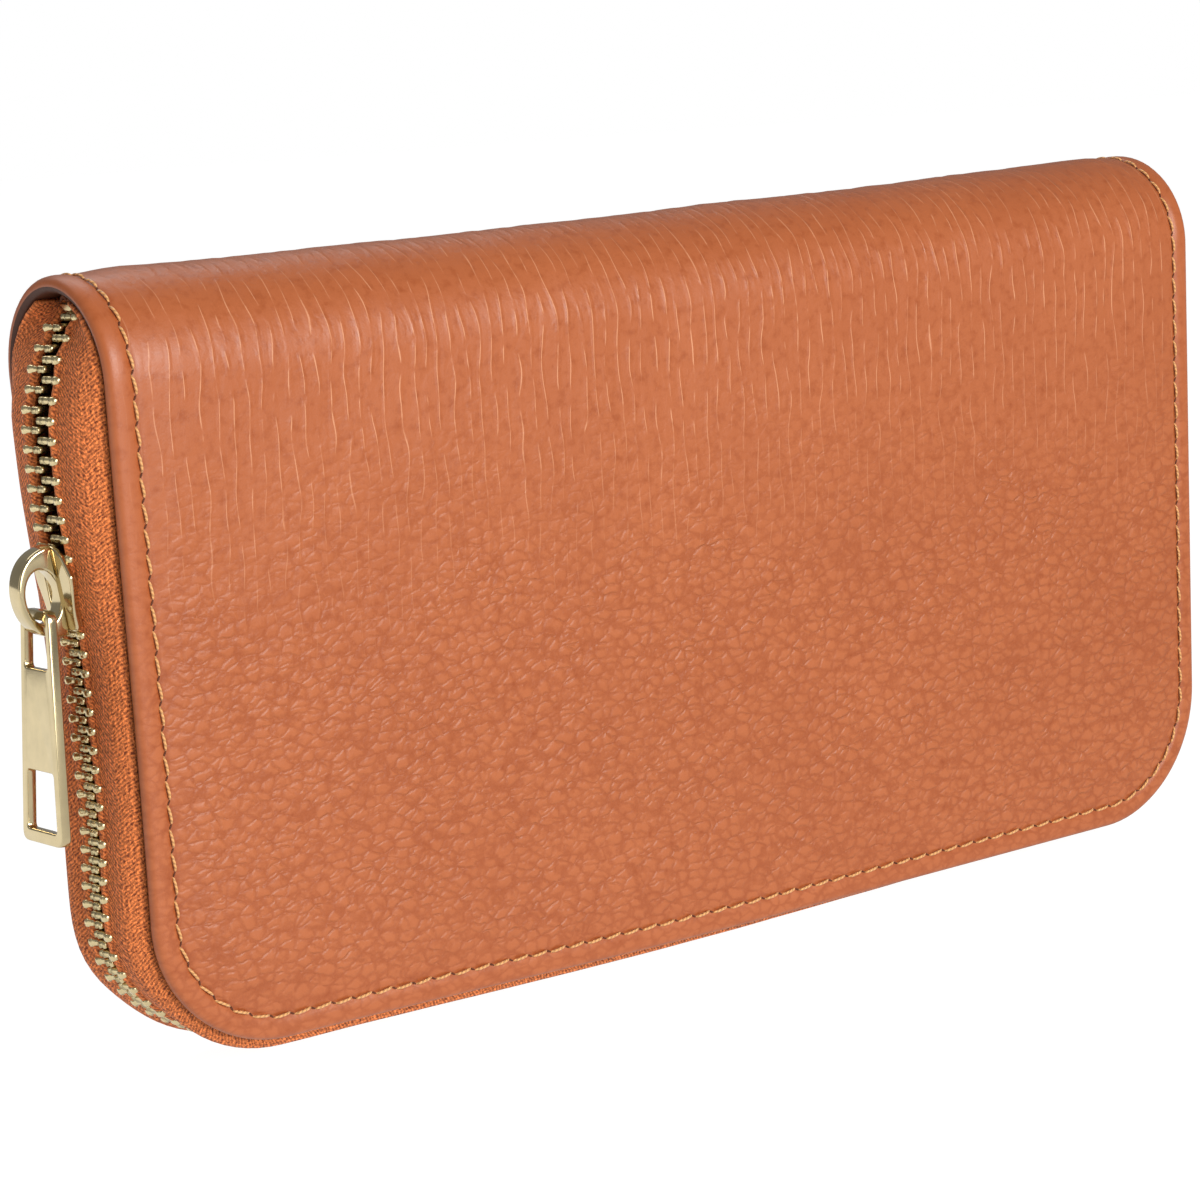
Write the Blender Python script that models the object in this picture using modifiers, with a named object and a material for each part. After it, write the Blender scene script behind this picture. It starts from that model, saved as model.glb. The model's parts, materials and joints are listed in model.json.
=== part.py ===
"""Zip-around continental wallet, standing on its zip edge with the spine at the top.

Metres, +Z up. X runs along the wallet's width, Y through its thickness: the front cover is at -Y and
the back cover at +Y. The origin is the centre of the whole part's footprint, on the surface it stands on.
The front half and the back half mirror each other; SIDES lists the sign of Y for each. The wallet is
thickest at the spine: each half is drawn upright and then leans in about the line along the spine's top.
"""

import math

import bmesh
import bpy
from mathutils import Matrix, Vector

# ---- driving dimensions -------------------------------------------------------------------------
COVER_WIDTH = 0.195
COVER_HEIGHT = 0.1045
THICKNESS = 0.0278  # at the spine, before the halves lean in
LEAN = math.radians(2.4)
CORNER_RADIUS = 0.020
TAPE_DROP = 0.0025  # how far the zip tape reaches below the covers' lower edge

# ---- cover layers, from the outside in ----------------------------------------------------------
LEATHER = 0.0010
TURNED_EDGE = 0.0020  # leather folded over the board's edge
TURNED_EDGE_WIDTH = 0.0025
BOARD = 0.0006
TAPE = 0.0005
LINING = 0.0004
POCKET = 0.0004
GAP = 0.0003  # clearance between pieces that touch

# ---- zip chain ----------------------------------------------------------------------------------
PITCH = 0.00254
TOOTH_ALONG = 0.0010
TOOTH_LENGTH = 0.0037
TOOTH_ROOT = 0.0013  # the part of a tooth's length clamped on the tape's cord
TOOTH_DEPTH = 0.0022
CLOSED_ROW = 0.0012  # a row's distance from the chain's centre line where the teeth mesh
OPEN_ROW = 0.0028  # and where they are apart
SIDE_BULGE = 0.0020  # how far the chain stands outside the leather's edge at the sides
BASE_CHAIN = 0.0003  # and at the base
BASE_BULGE = TAPE_DROP - TAPE / 2
TAPE_TOP_IN = -0.0030  # the chain's ends turn in under the spine
TURN_IN = 0.0070  # over this much height

# ---- main slider and pull -----------------------------------------------------------------------
SLIDER_LENGTH = 0.0114
SLIDER_NOSE = 0.0112
SLIDER_TAIL = 0.0082
BLADE = 0.0010
CHANNEL = 0.0032
FLANGE = 0.0007
TAPE_SLOT = 0.0015
POST_WIDTH = 0.0009
BRIDGE_RISE = 0.0053
BRIDGE_BAND = 0.0010
BRIDGE_WIDTH = 0.0028
PULL_LENGTH = 0.0312
PULL_TOP_WIDTH = 0.0072
PULL_END_WIDTH = 0.0104
PULL_THICKNESS = 0.0012
PULL_BAR = 0.0013
PULL_SLOT = 0.0064
PULL_END_SLOT = 0.0074
PULL_OUT = 0.0020  # the pull's bar above the bridge's feet
PULL_BACK = 0.0033  # and behind the slider's centre
SLIDER_ABOVE_EDGE = 0.0650  # slider's centre above the leather's lower edge

# ---- coin pocket --------------------------------------------------------------------------------
COIN_HALF_WIDTH = 0.0860
COIN_WALL = 0.0005
COIN_OUTER = 0.0026
COIN_LOW = 0.0280
COIN_HIGH = 0.0980
COIN_CHAIN_Z = 0.0245
COIN_PITCH = 0.0020
COIN_TAPE = 0.0003
COIN_TAPE_Y = 0.0031
COIN_SCALE = 0.50  # the coin zip against the main one
COIN_PULL_LENGTH = 0.0260  # before that scale
COIN_END = 0.0120  # from the pocket's side to the first tooth

# ---- card pockets and gussets -------------------------------------------------------------------
CARD_POCKETS = 4
CARD_HALF_WIDTH = 0.0840
CARD_STEP = 0.0150
CARD_STRIP = 0.0200
CARD_FIRST_Z = 0.0180
GUSSET = 0.00035
GUSSET_DEPTH = 0.0210
GUSSET_SEAM_X = 0.0870

# ---- derived ------------------------------------------------------------------------------------
HALF_W = COVER_WIDTH / 2
HALF_T = THICKNESS / 2
EDGE_Z = TAPE_DROP  # leather's lower edge
TOP_Z = EDGE_Z + COVER_HEIGHT
ARCH_Z = TOP_Z - HALF_T  # where the flat cover turns into the spine's arch
TAPE_END_Z = ARCH_Z - 0.0008
RIM_Y = HALF_T - TURNED_EDGE
TAPE_Y = RIM_Y - GAP - TAPE / 2
LINING_Y = TAPE_Y - TAPE / 2 - GAP - LINING / 2
CARD_Y = LINING_Y - LINING / 2 - GAP - POCKET / 2
SLIDER_Z = EDGE_Z + SLIDER_ABOVE_EDGE
CHAIN_X = -(HALF_W + SIDE_BULGE)
ROW_START, ROW_END = -0.0032, 0.0018  # the rows part between these, from the slider's centre
SLIDER_FACE = CHANNEL / 2 + BLADE
LEFT_REACH = SIDE_BULGE + SLIDER_FACE + GAP + BRIDGE_RISE
RIGHT_REACH = SIDE_BULGE + TOOTH_DEPTH / 2
CENTRE_X = (LEFT_REACH - RIGHT_REACH) / 2  # puts the whole part's box on the origin
ARC_STEPS = 8
SIDES = {"front": -1, "back": 1}

# ---- colours (linear RGB, roughness, metallic) --------------------------------------------------
FINISHES = {
    "tan_leather": ((0.56, 0.17, 0.05), 0.45, 0.0),
    "board": ((0.30, 0.22, 0.14), 0.9, 0.0),
    "zip_tape": ((0.42, 0.09, 0.025), 0.8, 0.0),
    "lining": ((0.36, 0.12, 0.045), 0.85, 0.0),
    "gold": ((0.80, 0.60, 0.28), 0.2, 1.0),
    "brass_teeth": ((0.62, 0.47, 0.22), 0.3, 1.0),
}


# ================================= helpers =======================================================
def clear_scene():
    for obj in list(bpy.data.objects):
        bpy.data.objects.remove(obj, do_unlink=True)


def make_collection(name):
    collection = bpy.data.collections.new(name)
    bpy.context.scene.collection.children.link(collection)
    return collection


def make_material(name):
    colour, roughness, metallic = FINISHES[name]
    material = bpy.data.materials.new(name)
    material.use_nodes = True
    shader = material.node_tree.nodes["Principled BSDF"]
    shader.inputs["Base Color"].default_value = (*colour, 1.0)
    shader.inputs["Roughness"].default_value = roughness
    shader.inputs["Metallic"].default_value = metallic
    return material


def leaning(side):
    """The empty on the spine's top line that leans one half in; its children keep their places."""
    return LEANS.get(side, CENTRE)


def add_object(name, data, finish, collection=None, parent=None):
    obj = bpy.data.objects.new(name, data)
    (collection or WALLET).objects.link(obj)
    obj.parent = parent or CENTRE
    if obj.parent in LEANS.values():
        obj.matrix_parent_inverse = Matrix.Translation((0, 0, -TOP_Z))
    if finish:
        data.materials.append(MATERIALS[finish])
    return obj


def add_cutter(name, data, parent=None):
    obj = add_object(name, data, None, CUTTERS, parent)
    obj.hide_render = True
    obj.display_type = "WIRE"
    return obj


def cut(obj, cutter, operation="DIFFERENCE"):
    boolean = obj.modifiers.new(cutter.name, "BOOLEAN")
    boolean.operation = operation
    boolean.object = cutter


def solidify(obj, thickness):
    shell = obj.modifiers.new("thickness", "SOLIDIFY")
    shell.thickness = thickness
    shell.offset = 0.0
    shell.use_even_offset = True


def bevel(obj, width, segments=2):
    rounding = obj.modifiers.new("rounding", "BEVEL")
    rounding.width = width
    rounding.segments = segments
    rounding.limit_method = "ANGLE"
    rounding.angle_limit = math.radians(40)


def box_mesh(name, size):
    shape = bmesh.new()
    bmesh.ops.create_cube(shape, size=1.0, matrix=Matrix.Diagonal((*size, 1.0)))
    mesh = bpy.data.meshes.new(name)
    shape.to_mesh(mesh)
    shape.free()
    return mesh


def box(name, finish, size, location, rotation=(0, 0, 0), parent=None):
    obj = add_object(name, box_mesh(name, size), finish, parent=parent)
    obj.location = location
    obj.rotation_euler = rotation
    return obj


def boxes_mesh(name, size, places):
    """One mesh of separate equal boxes, each placed by a matrix."""
    shape = bmesh.new()
    scale = Matrix.Diagonal((*size, 1.0))
    for place in places:
        bmesh.ops.create_cube(shape, size=1.0, matrix=place @ scale)
    mesh = bpy.data.meshes.new(name)
    shape.to_mesh(mesh)
    shape.free()
    return mesh


def mesh_from_curve(name, outlines, thickness):
    """A flat plate in the XZ plane from closed outlines; an outline inside another is a hole."""
    curve = bpy.data.curves.new(name, "CURVE")
    curve.dimensions = "2D"
    curve.fill_mode = "BOTH"
    curve.extrude = thickness / 2
    for outline in outlines:
        spline = curve.splines.new("POLY")
        spline.points.add(len(outline) - 1)
        for point, (x, z) in zip(spline.points, outline):
            point.co = (x, z, 0.0, 1.0)
        spline.use_cyclic_u = True
    holder = bpy.data.objects.new(name + "_outline", curve)
    bpy.context.scene.collection.objects.link(holder)
    mesh = bpy.data.meshes.new_from_object(
        holder.evaluated_get(bpy.context.evaluated_depsgraph_get())
    )
    bpy.data.objects.remove(holder)
    bpy.data.curves.remove(curve)
    shape = bmesh.new()
    shape.from_mesh(mesh)
    bmesh.ops.remove_doubles(shape, verts=shape.verts, dist=1e-6)
    bmesh.ops.rotate(shape, verts=shape.verts, matrix=Matrix.Rotation(math.pi / 2, 3, "X"))
    bmesh.ops.recalc_face_normals(shape, faces=shape.faces)
    shape.to_mesh(mesh)
    shape.free()
    return mesh


def plate(name, finish, outlines, thickness, y, parent=None):
    obj = add_object(name, mesh_from_curve(name, outlines, thickness), finish, parent=parent)
    obj.location = (0, y, 0)
    return obj


def grid_mesh(name, rows):
    """An open surface through equal rows of points."""
    shape = bmesh.new()
    verts = [[shape.verts.new(point) for point in row] for row in rows]
    for lower, upper in zip(verts, verts[1:]):
        for i in range(len(lower) - 1):
            shape.faces.new((lower[i], lower[i + 1], upper[i + 1], upper[i]))
    bmesh.ops.recalc_face_normals(shape, faces=shape.faces)
    mesh = bpy.data.meshes.new(name)
    shape.to_mesh(mesh)
    shape.free()
    return mesh


def swept_section(name, finish, section, start, end, thickness, parent=None):
    """A folded sheet: a section of points carried in a straight line from start to end."""
    rows = [[Vector(point) + Vector(end_point) for point in section] for end_point in (start, end)]
    obj = add_object(name, grid_mesh(name, rows), finish, parent=parent)
    solidify(obj, thickness)
    return obj


def arc(centre, radius, start, end, steps):
    """Points on an arc, from one angle to another in degrees."""
    angles = [math.radians(start + (end - start) * i / steps) for i in range(steps + 1)]
    return [(centre[0] + radius * math.cos(a), centre[1] + radius * math.sin(a)) for a in angles]


def ease(t):
    t = min(max(t, 0.0), 1.0)
    return t * t * (3 - 2 * t)


def lean(sign, x, y, z):
    """Where a point drawn on an upright half is once the half leans in."""
    below = z - TOP_Z
    out = y * math.cos(LEAN) + below * math.sin(LEAN)
    return Vector((x, sign * out, TOP_Z + below * math.cos(LEAN) - y * math.sin(LEAN)))


# ================================= shared shapes =================================================
def cover_outline(inset, top):
    """The cover's outline in XZ, drawn in by inset: square at the spine, round at the zip corners."""
    half, low, radius = HALF_W - inset, EDGE_Z + inset, CORNER_RADIUS - inset
    left = arc((-half + radius, low + radius), radius, 180, 270, ARC_STEPS)
    right = arc((half - radius, low + radius), radius, 270, 360, ARC_STEPS)
    return [(-half, top), *left, *right, (half, top)]


def side_heights(slider_side):
    """Heights at which the tape is given up one side, closer together where its course changes."""
    low = EDGE_Z + CORNER_RADIUS
    heights = [low + (TAPE_END_Z - TURN_IN - low) * i / 6 for i in range(1, 7)]
    heights += [TAPE_END_Z - TURN_IN * i / 6 for i in range(6)]
    if slider_side:
        heights += [SLIDER_Z + ROW_START + (ROW_END - ROW_START) * i / 6 for i in range(7)]
    return sorted(heights)


def zip_path():
    """Stations round the leather's edge from the left end of the spine to the right end:
    (x, z, outward normal x, outward normal z)."""
    low = EDGE_Z + CORNER_RADIUS
    corner_x = HALF_W - CORNER_RADIUS
    base_steps = 4
    points = [(-HALF_W, z, -1.0, 0.0) for z in reversed(side_heights(True))]
    for centre_x, start in ((-corner_x, 180), (corner_x, 270)):
        for i in range(ARC_STEPS + 1):
            a = math.radians(start + 90 * i / ARC_STEPS)
            x, z = centre_x + CORNER_RADIUS * math.cos(a), low + CORNER_RADIUS * math.sin(a)
            points.append((x, z, math.cos(a), math.sin(a)))
        if centre_x < 0:
            for i in range(1, base_steps):
                x = -corner_x + 2 * corner_x * i / base_steps
                points.append((x, EDGE_Z, 0.0, -1.0))
    points += [(HALF_W, z, 1.0, 0.0) for z in side_heights(False)]
    return points


def chain_offset(z, normal_z):
    """How far the chain's centre line stands outside the leather's edge."""
    under_spine = ease((z - (TAPE_END_Z - TURN_IN)) / TURN_IN)
    offset = SIDE_BULGE + (BASE_CHAIN - SIDE_BULGE) * ease(-normal_z * 1.25 - 0.25)
    return offset + (TAPE_TOP_IN - offset) * under_spine


def tape_bulge(z, normal_z):
    """How far the tape stands outside the leather's edge between the leather and the chain."""
    under_spine = ease((z - (TAPE_END_Z - TURN_IN)) / TURN_IN)
    offset = SIDE_BULGE * 0.9
    offset += (BASE_BULGE - offset) * ease(-normal_z * 1.25 - 0.25)
    return offset * (1 - under_spine)


def row_offset(x, z):
    """A tooth row's distance from the chain's centre line: the chain is open above the slider."""
    if x > 0:
        return CLOSED_ROW
    opening = (z - SLIDER_Z - ROW_START) / (ROW_END - ROW_START)
    return CLOSED_ROW + (OPEN_ROW - CLOSED_ROW) * ease(opening)


def along_path(distance):
    """Position and outward normal at a distance along the leather's edge."""
    points = zip_path()
    for (x0, z0, nx0, nz0), (x1, z1, nx1, nz1) in zip(points, points[1:]):
        step = math.hypot(x1 - x0, z1 - z0)
        if distance <= step:
            t = distance / step
            normal = Vector((nx0 + (nx1 - nx0) * t, 0, nz0 + (nz1 - nz0) * t)).normalized()
            return Vector((x0 + (x1 - x0) * t, 0, z0 + (z1 - z0) * t)), normal
        distance -= step
    return None


def path_length():
    points = zip_path()
    return sum(math.hypot(b[0] - a[0], b[1] - a[1]) for a, b in zip(points, points[1:]))


# ================================= the two halves ================================================
def cover_leather(side, sign):
    """Outer leather with its turned edge: a flat cover and half of the spine's arch, one sheet."""
    reach = HALF_W + 0.01
    mid = HALF_T - TURNED_EDGE / 2
    arch = [
        (sign * y, z)
        for y, z in arc((0, ARCH_Z), mid, 0, 90 - math.degrees((GAP / 2 + 0.0001) / mid), ARC_STEPS)
    ]
    section = [(0, sign * mid, EDGE_Z - 0.01), *[(0, y, z) for y, z in arch]]
    rows = [[Vector(p) + Vector((x, 0, 0)) for p in section] for x in (-reach, reach)]
    half_place = leaning(side)
    cover = grid_mesh(side + "_cover", rows)
    obj = add_object(side + "_cover_leather", cover, "tan_leather", parent=half_place)
    solidify(obj, TURNED_EDGE)
    outline = mesh_from_curve(side + "_trim", [cover_outline(0, TOP_Z + 0.01)], 0.04)
    cut(obj, add_cutter(side + "_trim", outline, half_place), "INTERSECT")
    recess_mesh = mesh_from_curve(
        side + "_recess", [cover_outline(TURNED_EDGE_WIDTH, ARCH_Z - 0.0005)], 0.01
    )
    recess = add_cutter(side + "_recess", recess_mesh, half_place)
    recess.location.y = sign * (HALF_T - LEATHER - 0.005)
    cut(obj, recess)
    return obj


def zip_tape(side, sign):
    """Woven tape from inside the cover, round the leather's edge, to the tooth row."""
    rows = []
    for x, z, nx, nz in zip_path():
        chain, bulge = chain_offset(z, nz), tape_bulge(z, nz)
        ridge = max(bulge, chain)
        row = [lean(sign, x + nx * u, TAPE_Y, z + nz * u) for u in (-0.0070, -0.0008)]
        rim = abs(row[1].y)
        section = [
            (bulge * 0.8, rim - 0.00035),
            (ridge, rim - 0.0010),
            (ridge, rim - 0.0020),
            (chain, rim - 0.0029),
            (chain, row_offset(x, z) + TOOTH_LENGTH / 2 + GAP),
        ]
        rows.append(row + [Vector((x + nx * u, sign * y, z + nz * u)) for u, y in section])
    obj = add_object(side + "_zip_tape", grid_mesh(side + "_zip_tape", rows), "zip_tape")
    solidify(obj, TAPE)
    return obj


def comb_mesh(name, start, pitch, count, along, place, across):
    """An open toothed strip: a root running the whole way and a tooth at each pitch.

    place(distance, across) gives a point; across lists the tooth's back, root and tip.
    """
    shape = bmesh.new()

    def column(distance):
        return [shape.verts.new(place(distance, side)) for side in across]

    previous = None
    for i in range(count):
        first, last = column(start + i * pitch), column(start + i * pitch + along)
        if previous:
            shape.faces.new((previous[0], first[0], first[1], previous[1]))
        shape.faces.new((first[0], last[0], last[1], first[1]))
        shape.faces.new((first[1], last[1], last[2], first[2]))
        previous = last
    bmesh.ops.recalc_face_normals(shape, faces=shape.faces)
    mesh = bpy.data.meshes.new(name)
    shape.to_mesh(mesh)
    shape.free()
    return mesh


def zip_teeth(side, sign):
    """One row of metal teeth on its cord, half a pitch out of step with the other row."""
    start = 0.0036 + (PITCH / 2 if sign > 0 else 0.0)
    count = int((path_length() - 0.0085) / PITCH)

    def place(distance, across):
        point, normal = along_path(distance)
        y = sign * (row_offset(point.x, point.z) + across)
        return point + normal * chain_offset(point.z, normal.z) + Vector((0, y, 0))

    across = (TOOTH_LENGTH / 2, TOOTH_LENGTH / 2 - TOOTH_ROOT, -TOOTH_LENGTH / 2)
    mesh = comb_mesh(side + "_teeth", start, PITCH, count, TOOTH_ALONG, place, across)
    obj = add_object(side + "_zip_teeth", mesh, "brass_teeth")
    solidify(obj, TOOTH_DEPTH)
    return obj


def card_pockets(side, sign):
    """Leather strips laid like shingles on the lining, their mouths towards the zip."""
    tilt = math.asin((POCKET + GAP) / CARD_STEP)
    for i in range(CARD_POCKETS):
        z = CARD_FIRST_Z + i * CARD_STEP + CARD_STRIP / 2
        y = CARD_Y - (POCKET + GAP) / 2 - 0.00005
        box(
            f"{side}_card_pocket_{i + 1}",
            "lining",
            (2 * CARD_HALF_WIDTH, POCKET, CARD_STRIP - 0.0008),
            (0, sign * y, z),
            (sign * -tilt, 0, 0),
            leaning(side),
        )


def half(side, sign):
    cover_leather(side, sign)
    board_y = sign * (HALF_T - LEATHER - GAP - BOARD / 2)
    board_outline = [cover_outline(TURNED_EDGE_WIDTH + GAP, ARCH_Z - 0.0012)]
    place = leaning(side)
    plate(side + "_stiffener_board", "board", board_outline, BOARD, board_y, place)
    lining_outline = [cover_outline(0.0020, ARCH_Z - 0.0010)]
    plate(side + "_lining", "lining", lining_outline, LINING, sign * LINING_Y, place)
    zip_tape(side, sign)
    zip_teeth(side, sign)
    card_pockets(side, sign)
    stop_point, normal = along_path(0.0010)
    stop = stop_point + normal * chain_offset(stop_point.z, normal.z)
    y = sign * row_offset(stop_point.x, stop_point.z)
    box(side + "_zip_top_stop", "brass_teeth", (0.0024, 0.0032, 0.0016), (stop.x, y, stop.z))


def zip_bottom_stop():
    """The box clamped over both tapes where the zip ends, under the right end of the spine."""
    point, normal = along_path(path_length() - 0.0016)
    centre = point + normal * chain_offset(point.z, normal.z)
    box("zip_bottom_stop", "brass_teeth", (0.0024, 0.0060, 0.0020), (centre.x, 0, centre.z))


# ================================= coin pocket ===================================================
def coin_pocket():
    height = COIN_HIGH - COIN_LOW
    mid_z = (COIN_HIGH + COIN_LOW) / 2
    wall_y = COIN_OUTER - COIN_WALL / 2
    inside = COIN_OUTER - COIN_WALL - GAP
    for side, sign in SIDES.items():
        wall_size = (2 * COIN_HALF_WIDTH, COIN_WALL, height)
        box(f"coin_pocket_{side}_wall", "lining", wall_size, (0, sign * wall_y, mid_z))
        tape_edge = COIN_SCALE * (CLOSED_ROW + TOOTH_LENGTH / 2) + GAP
        section = [
            (0, sign * COIN_TAPE_Y, COIN_LOW + 0.0060),
            (0, sign * COIN_TAPE_Y, COIN_CHAIN_Z),
            (0, sign * tape_edge, COIN_CHAIN_Z),
        ]
        ends = [(x, 0, 0) for x in (-COIN_HALF_WIDTH + 0.002, COIN_HALF_WIDTH - 0.002)]
        swept_section(f"coin_{side}_zip_tape", "zip_tape", section, *ends, COIN_TAPE)
        coin_teeth(side, sign)
    fold_size = (2 * COIN_HALF_WIDTH, 2 * COIN_OUTER, COIN_WALL)
    fold_z = COIN_HIGH + GAP + COIN_WALL / 2
    box("coin_pocket_spine_fold", "lining", fold_size, (0, 0, fold_z))
    for side, sign in (("left", -1), ("right", 1)):
        x = sign * (COIN_HALF_WIDTH - COIN_WALL / 2)
        side_size = (COIN_WALL, 2 * inside, height - 0.0010)
        box(f"coin_pocket_{side}_side", "lining", side_size, (x, 0, mid_z))


def coin_teeth(side, sign):
    start = -COIN_HALF_WIDTH + COIN_END + (COIN_PITCH / 2 if sign > 0 else 0.0)
    count = int((2 * COIN_HALF_WIDTH - COIN_END - 0.0060) / COIN_PITCH)
    length, row = TOOTH_LENGTH * COIN_SCALE, CLOSED_ROW * COIN_SCALE

    def place(distance, across):
        return Vector((distance, sign * (row + across), COIN_CHAIN_Z))

    across = (length / 2, length / 2 - TOOTH_ROOT * COIN_SCALE, -length / 2)
    along = TOOTH_ALONG * COIN_PITCH / PITCH
    mesh = comb_mesh(side + "_coin_teeth", start, COIN_PITCH, count, along, place, across)
    obj = add_object(f"coin_{side}_zip_teeth", mesh, "brass_teeth")
    solidify(obj, TOOTH_DEPTH * COIN_SCALE)


# ================================= gussets =======================================================
def gusset(end, end_sign, side, sign):
    """Pleated side web between a half's lining and the coin pocket's side."""
    seam = end_sign * GUSSET_SEAM_X
    fold = end_sign * (GUSSET_SEAM_X - GUSSET_DEPTH)
    on_lining = LINING_Y - LINING / 2 - GAP - GUSSET / 2
    inner = COIN_OUTER + 0.0010
    rows = []
    for z in (EDGE_Z + 0.0180, ARCH_Z - 0.0020):
        outer = abs(lean(sign, 0, CARD_Y - 0.00105, z).y) - 0.00055
        middle = (outer + inner) / 2
        row = [
            lean(sign, seam + end_sign * 0.0045, on_lining, z),
            lean(sign, seam + end_sign * 0.0008, on_lining - 0.0001, z),
        ]
        section = [
            (seam - end_sign * 0.0006, outer),
            (fold, middle + 0.0003),
            (fold, middle - 0.0003),
            (seam - end_sign * 0.0002, inner),
            (seam + end_sign * 0.0004, inner - 0.0006),
            (seam + end_sign * 0.0004, 0.0004),
        ]
        rows.append(row + [Vector((x, sign * y, z)) for x, y in section])
    name = f"{end}_{side}_gusset"
    obj = add_object(name, grid_mesh(name, rows), "lining")
    solidify(obj, GUSSET)


# ================================= sliders and pulls =============================================
def blade_outline():
    """A slider blade in its own plane: wide shoulders at the nose, narrow tail. Nose at +Z."""
    nose, tail, half_length = SLIDER_NOSE / 2, SLIDER_TAIL / 2, SLIDER_LENGTH / 2
    upper = arc((0, half_length - 0.0040), 0.0040, 30, 150, 6)
    right = [
        (tail - 0.0006, -half_length),
        (tail, -half_length + 0.0006),
        (tail, -0.0036),
        (nose, 0.0008),
        (nose, 0.0016),
    ]
    left = [(-x, z) for x, z in reversed(right)]
    return [*right, *upper, *left]


def channel_outlines():
    """The channel between the blades, which follows the two tooth rows, round the post."""
    over = SLIDER_LENGTH / 2 + 0.002
    nose, tail = SLIDER_NOSE / 2 - FLANGE, SLIDER_TAIL / 2 - FLANGE
    right = [(tail, -over), (tail, -0.0036), (nose, 0.0008), (nose, over)]
    left = [(-x, z) for x, z in reversed(right)]
    post = POST_WIDTH / 2
    post_right = [(0, 0.0022), (post, 0.0030), (post, 0.0048)]
    return [[*right, *left], [*post_right, (0, 0.0054), (-post, 0.0048), (-post, 0.0030)]]


def tape_slots(name):
    """The slots the tapes leave by, one on each side."""
    reach = 0.02
    offset = reach / 2 + SLIDER_TAIL / 2 - FLANGE - 0.0002
    places = [Matrix.Translation((sign * offset, 0, 0)) for sign in (-1, 1)]
    return boxes_mesh(name + "_slots", (reach, TAPE_SLOT, 0.03), places)


def bridge_mesh(name):
    """A flat band bent to a loop over the slider's outer blade, open underneath."""
    length, rise, steps = SLIDER_LENGTH / 2, BRIDGE_RISE, 12
    angles = [math.pi * i / steps for i in range(steps + 1)]
    outer = [(length * math.cos(a), rise * abs(math.sin(a)) ** 0.8) for a in angles]
    length, rise = length - BRIDGE_BAND, rise - BRIDGE_BAND
    inner = [(length * math.cos(a), rise * abs(math.sin(a)) ** 0.8) for a in reversed(angles)]
    mesh = mesh_from_curve(name + "_bridge", [[*outer, *inner]], BRIDGE_WIDTH)
    mesh.transform(Matrix(((0, 1, 0, 0), (0, 0, 1, 0), (1, 0, 0, 0), (0, 0, 0, 1))))
    return mesh


def pull_outlines(length):
    """Tapered plate with a slot at each end; its top bar turns in the bridge. Origin on the bar."""
    top, bottom = PULL_BAR / 2, PULL_BAR / 2 - length
    wall = (PULL_TOP_WIDTH - 0.0044) / 2

    def half_width(z):
        return (PULL_TOP_WIDTH + (PULL_END_WIDTH - PULL_TOP_WIDTH) * (top - z) / length) / 2

    def tapered(low, high, inset, corner):
        right = [
            (half_width(low) - inset - corner, low),
            (half_width(low) - inset, low + corner),
            (half_width(high) - inset, high - corner),
            (half_width(high) - inset - corner, high),
        ]
        return [*right, *[(-x, z) for x, z in reversed(right)]]

    bar_end = top - PULL_BAR
    end_slot = bottom + 0.0020
    return [
        tapered(bottom, top, 0.0, 0.0008),
        tapered(bar_end - PULL_SLOT, bar_end, wall, 0.0005),
        tapered(end_slot, end_slot + PULL_END_SLOT * length / PULL_LENGTH, wall, 0.0005),
    ]


def slider(name, scale, place, pull_length, pull_turn):
    """Slider body, its bridge and its pull, built at the main slider's size and then scaled.

    In the slider's own frame the tapes run along Z, closing towards +Z, and outward is +Y.
    """
    carrier = bpy.data.objects.new(name + "_place", None)
    WALLET.objects.link(carrier)
    carrier.parent = CENTRE
    carrier.matrix_local = place @ Matrix.Scale(scale, 4)

    body_mesh = mesh_from_curve(name + "_body", [blade_outline()], CHANNEL + 2 * BLADE)
    body = add_object(name + "_body", body_mesh, "gold", parent=carrier)
    channel = add_cutter(name + "_channel", mesh_from_curve(name, channel_outlines(), CHANNEL))
    slots = add_cutter(name + "_slots", tape_slots(name))
    for cutter in (channel, slots):
        cutter.parent = carrier
        cut(body, cutter)

    foot_y = SLIDER_FACE + GAP / scale
    bridge = add_object(name + "_bridge", bridge_mesh(name), "gold", parent=carrier)
    bridge.location = (0, foot_y, 0)

    pull_mesh = mesh_from_curve(name + "_pull", pull_outlines(pull_length), PULL_THICKNESS)
    pull = add_object(name + "_pull", pull_mesh, "gold", parent=carrier)
    pull.location = (0, foot_y + PULL_OUT, -PULL_BACK)
    pull.rotation_euler.x = math.radians(pull_turn)


def sliders():
    outward_left = Matrix.Rotation(math.pi / 2, 4, "Z")  # the slider's +Y to the wallet's -X
    main_place = Matrix.Translation((CHAIN_X, 0, SLIDER_Z)) @ outward_left
    slider("main_slider", 1.0, main_place, PULL_LENGTH, 0)
    # The coin zip's slider faces down and closes towards -X; its pull hangs from it.
    turn = Matrix(((0, 0, -1, 0), (1, 0, 0, 0), (0, -1, 0, 0), (0, 0, 0, 1)))
    coin_x = -COIN_HALF_WIDTH + COIN_END - 0.0008
    coin_place = Matrix.Translation((coin_x, 0, COIN_CHAIN_Z)) @ turn
    slider("coin_slider", COIN_SCALE, coin_place, COIN_PULL_LENGTH, 90)


def main():
    for side, sign in SIDES.items():
        half(side, sign)
        for end, end_sign in (("left", -1), ("right", 1)):
            gusset(end, end_sign, side, sign)
    zip_bottom_stop()
    coin_pocket()
    sliders()


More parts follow.
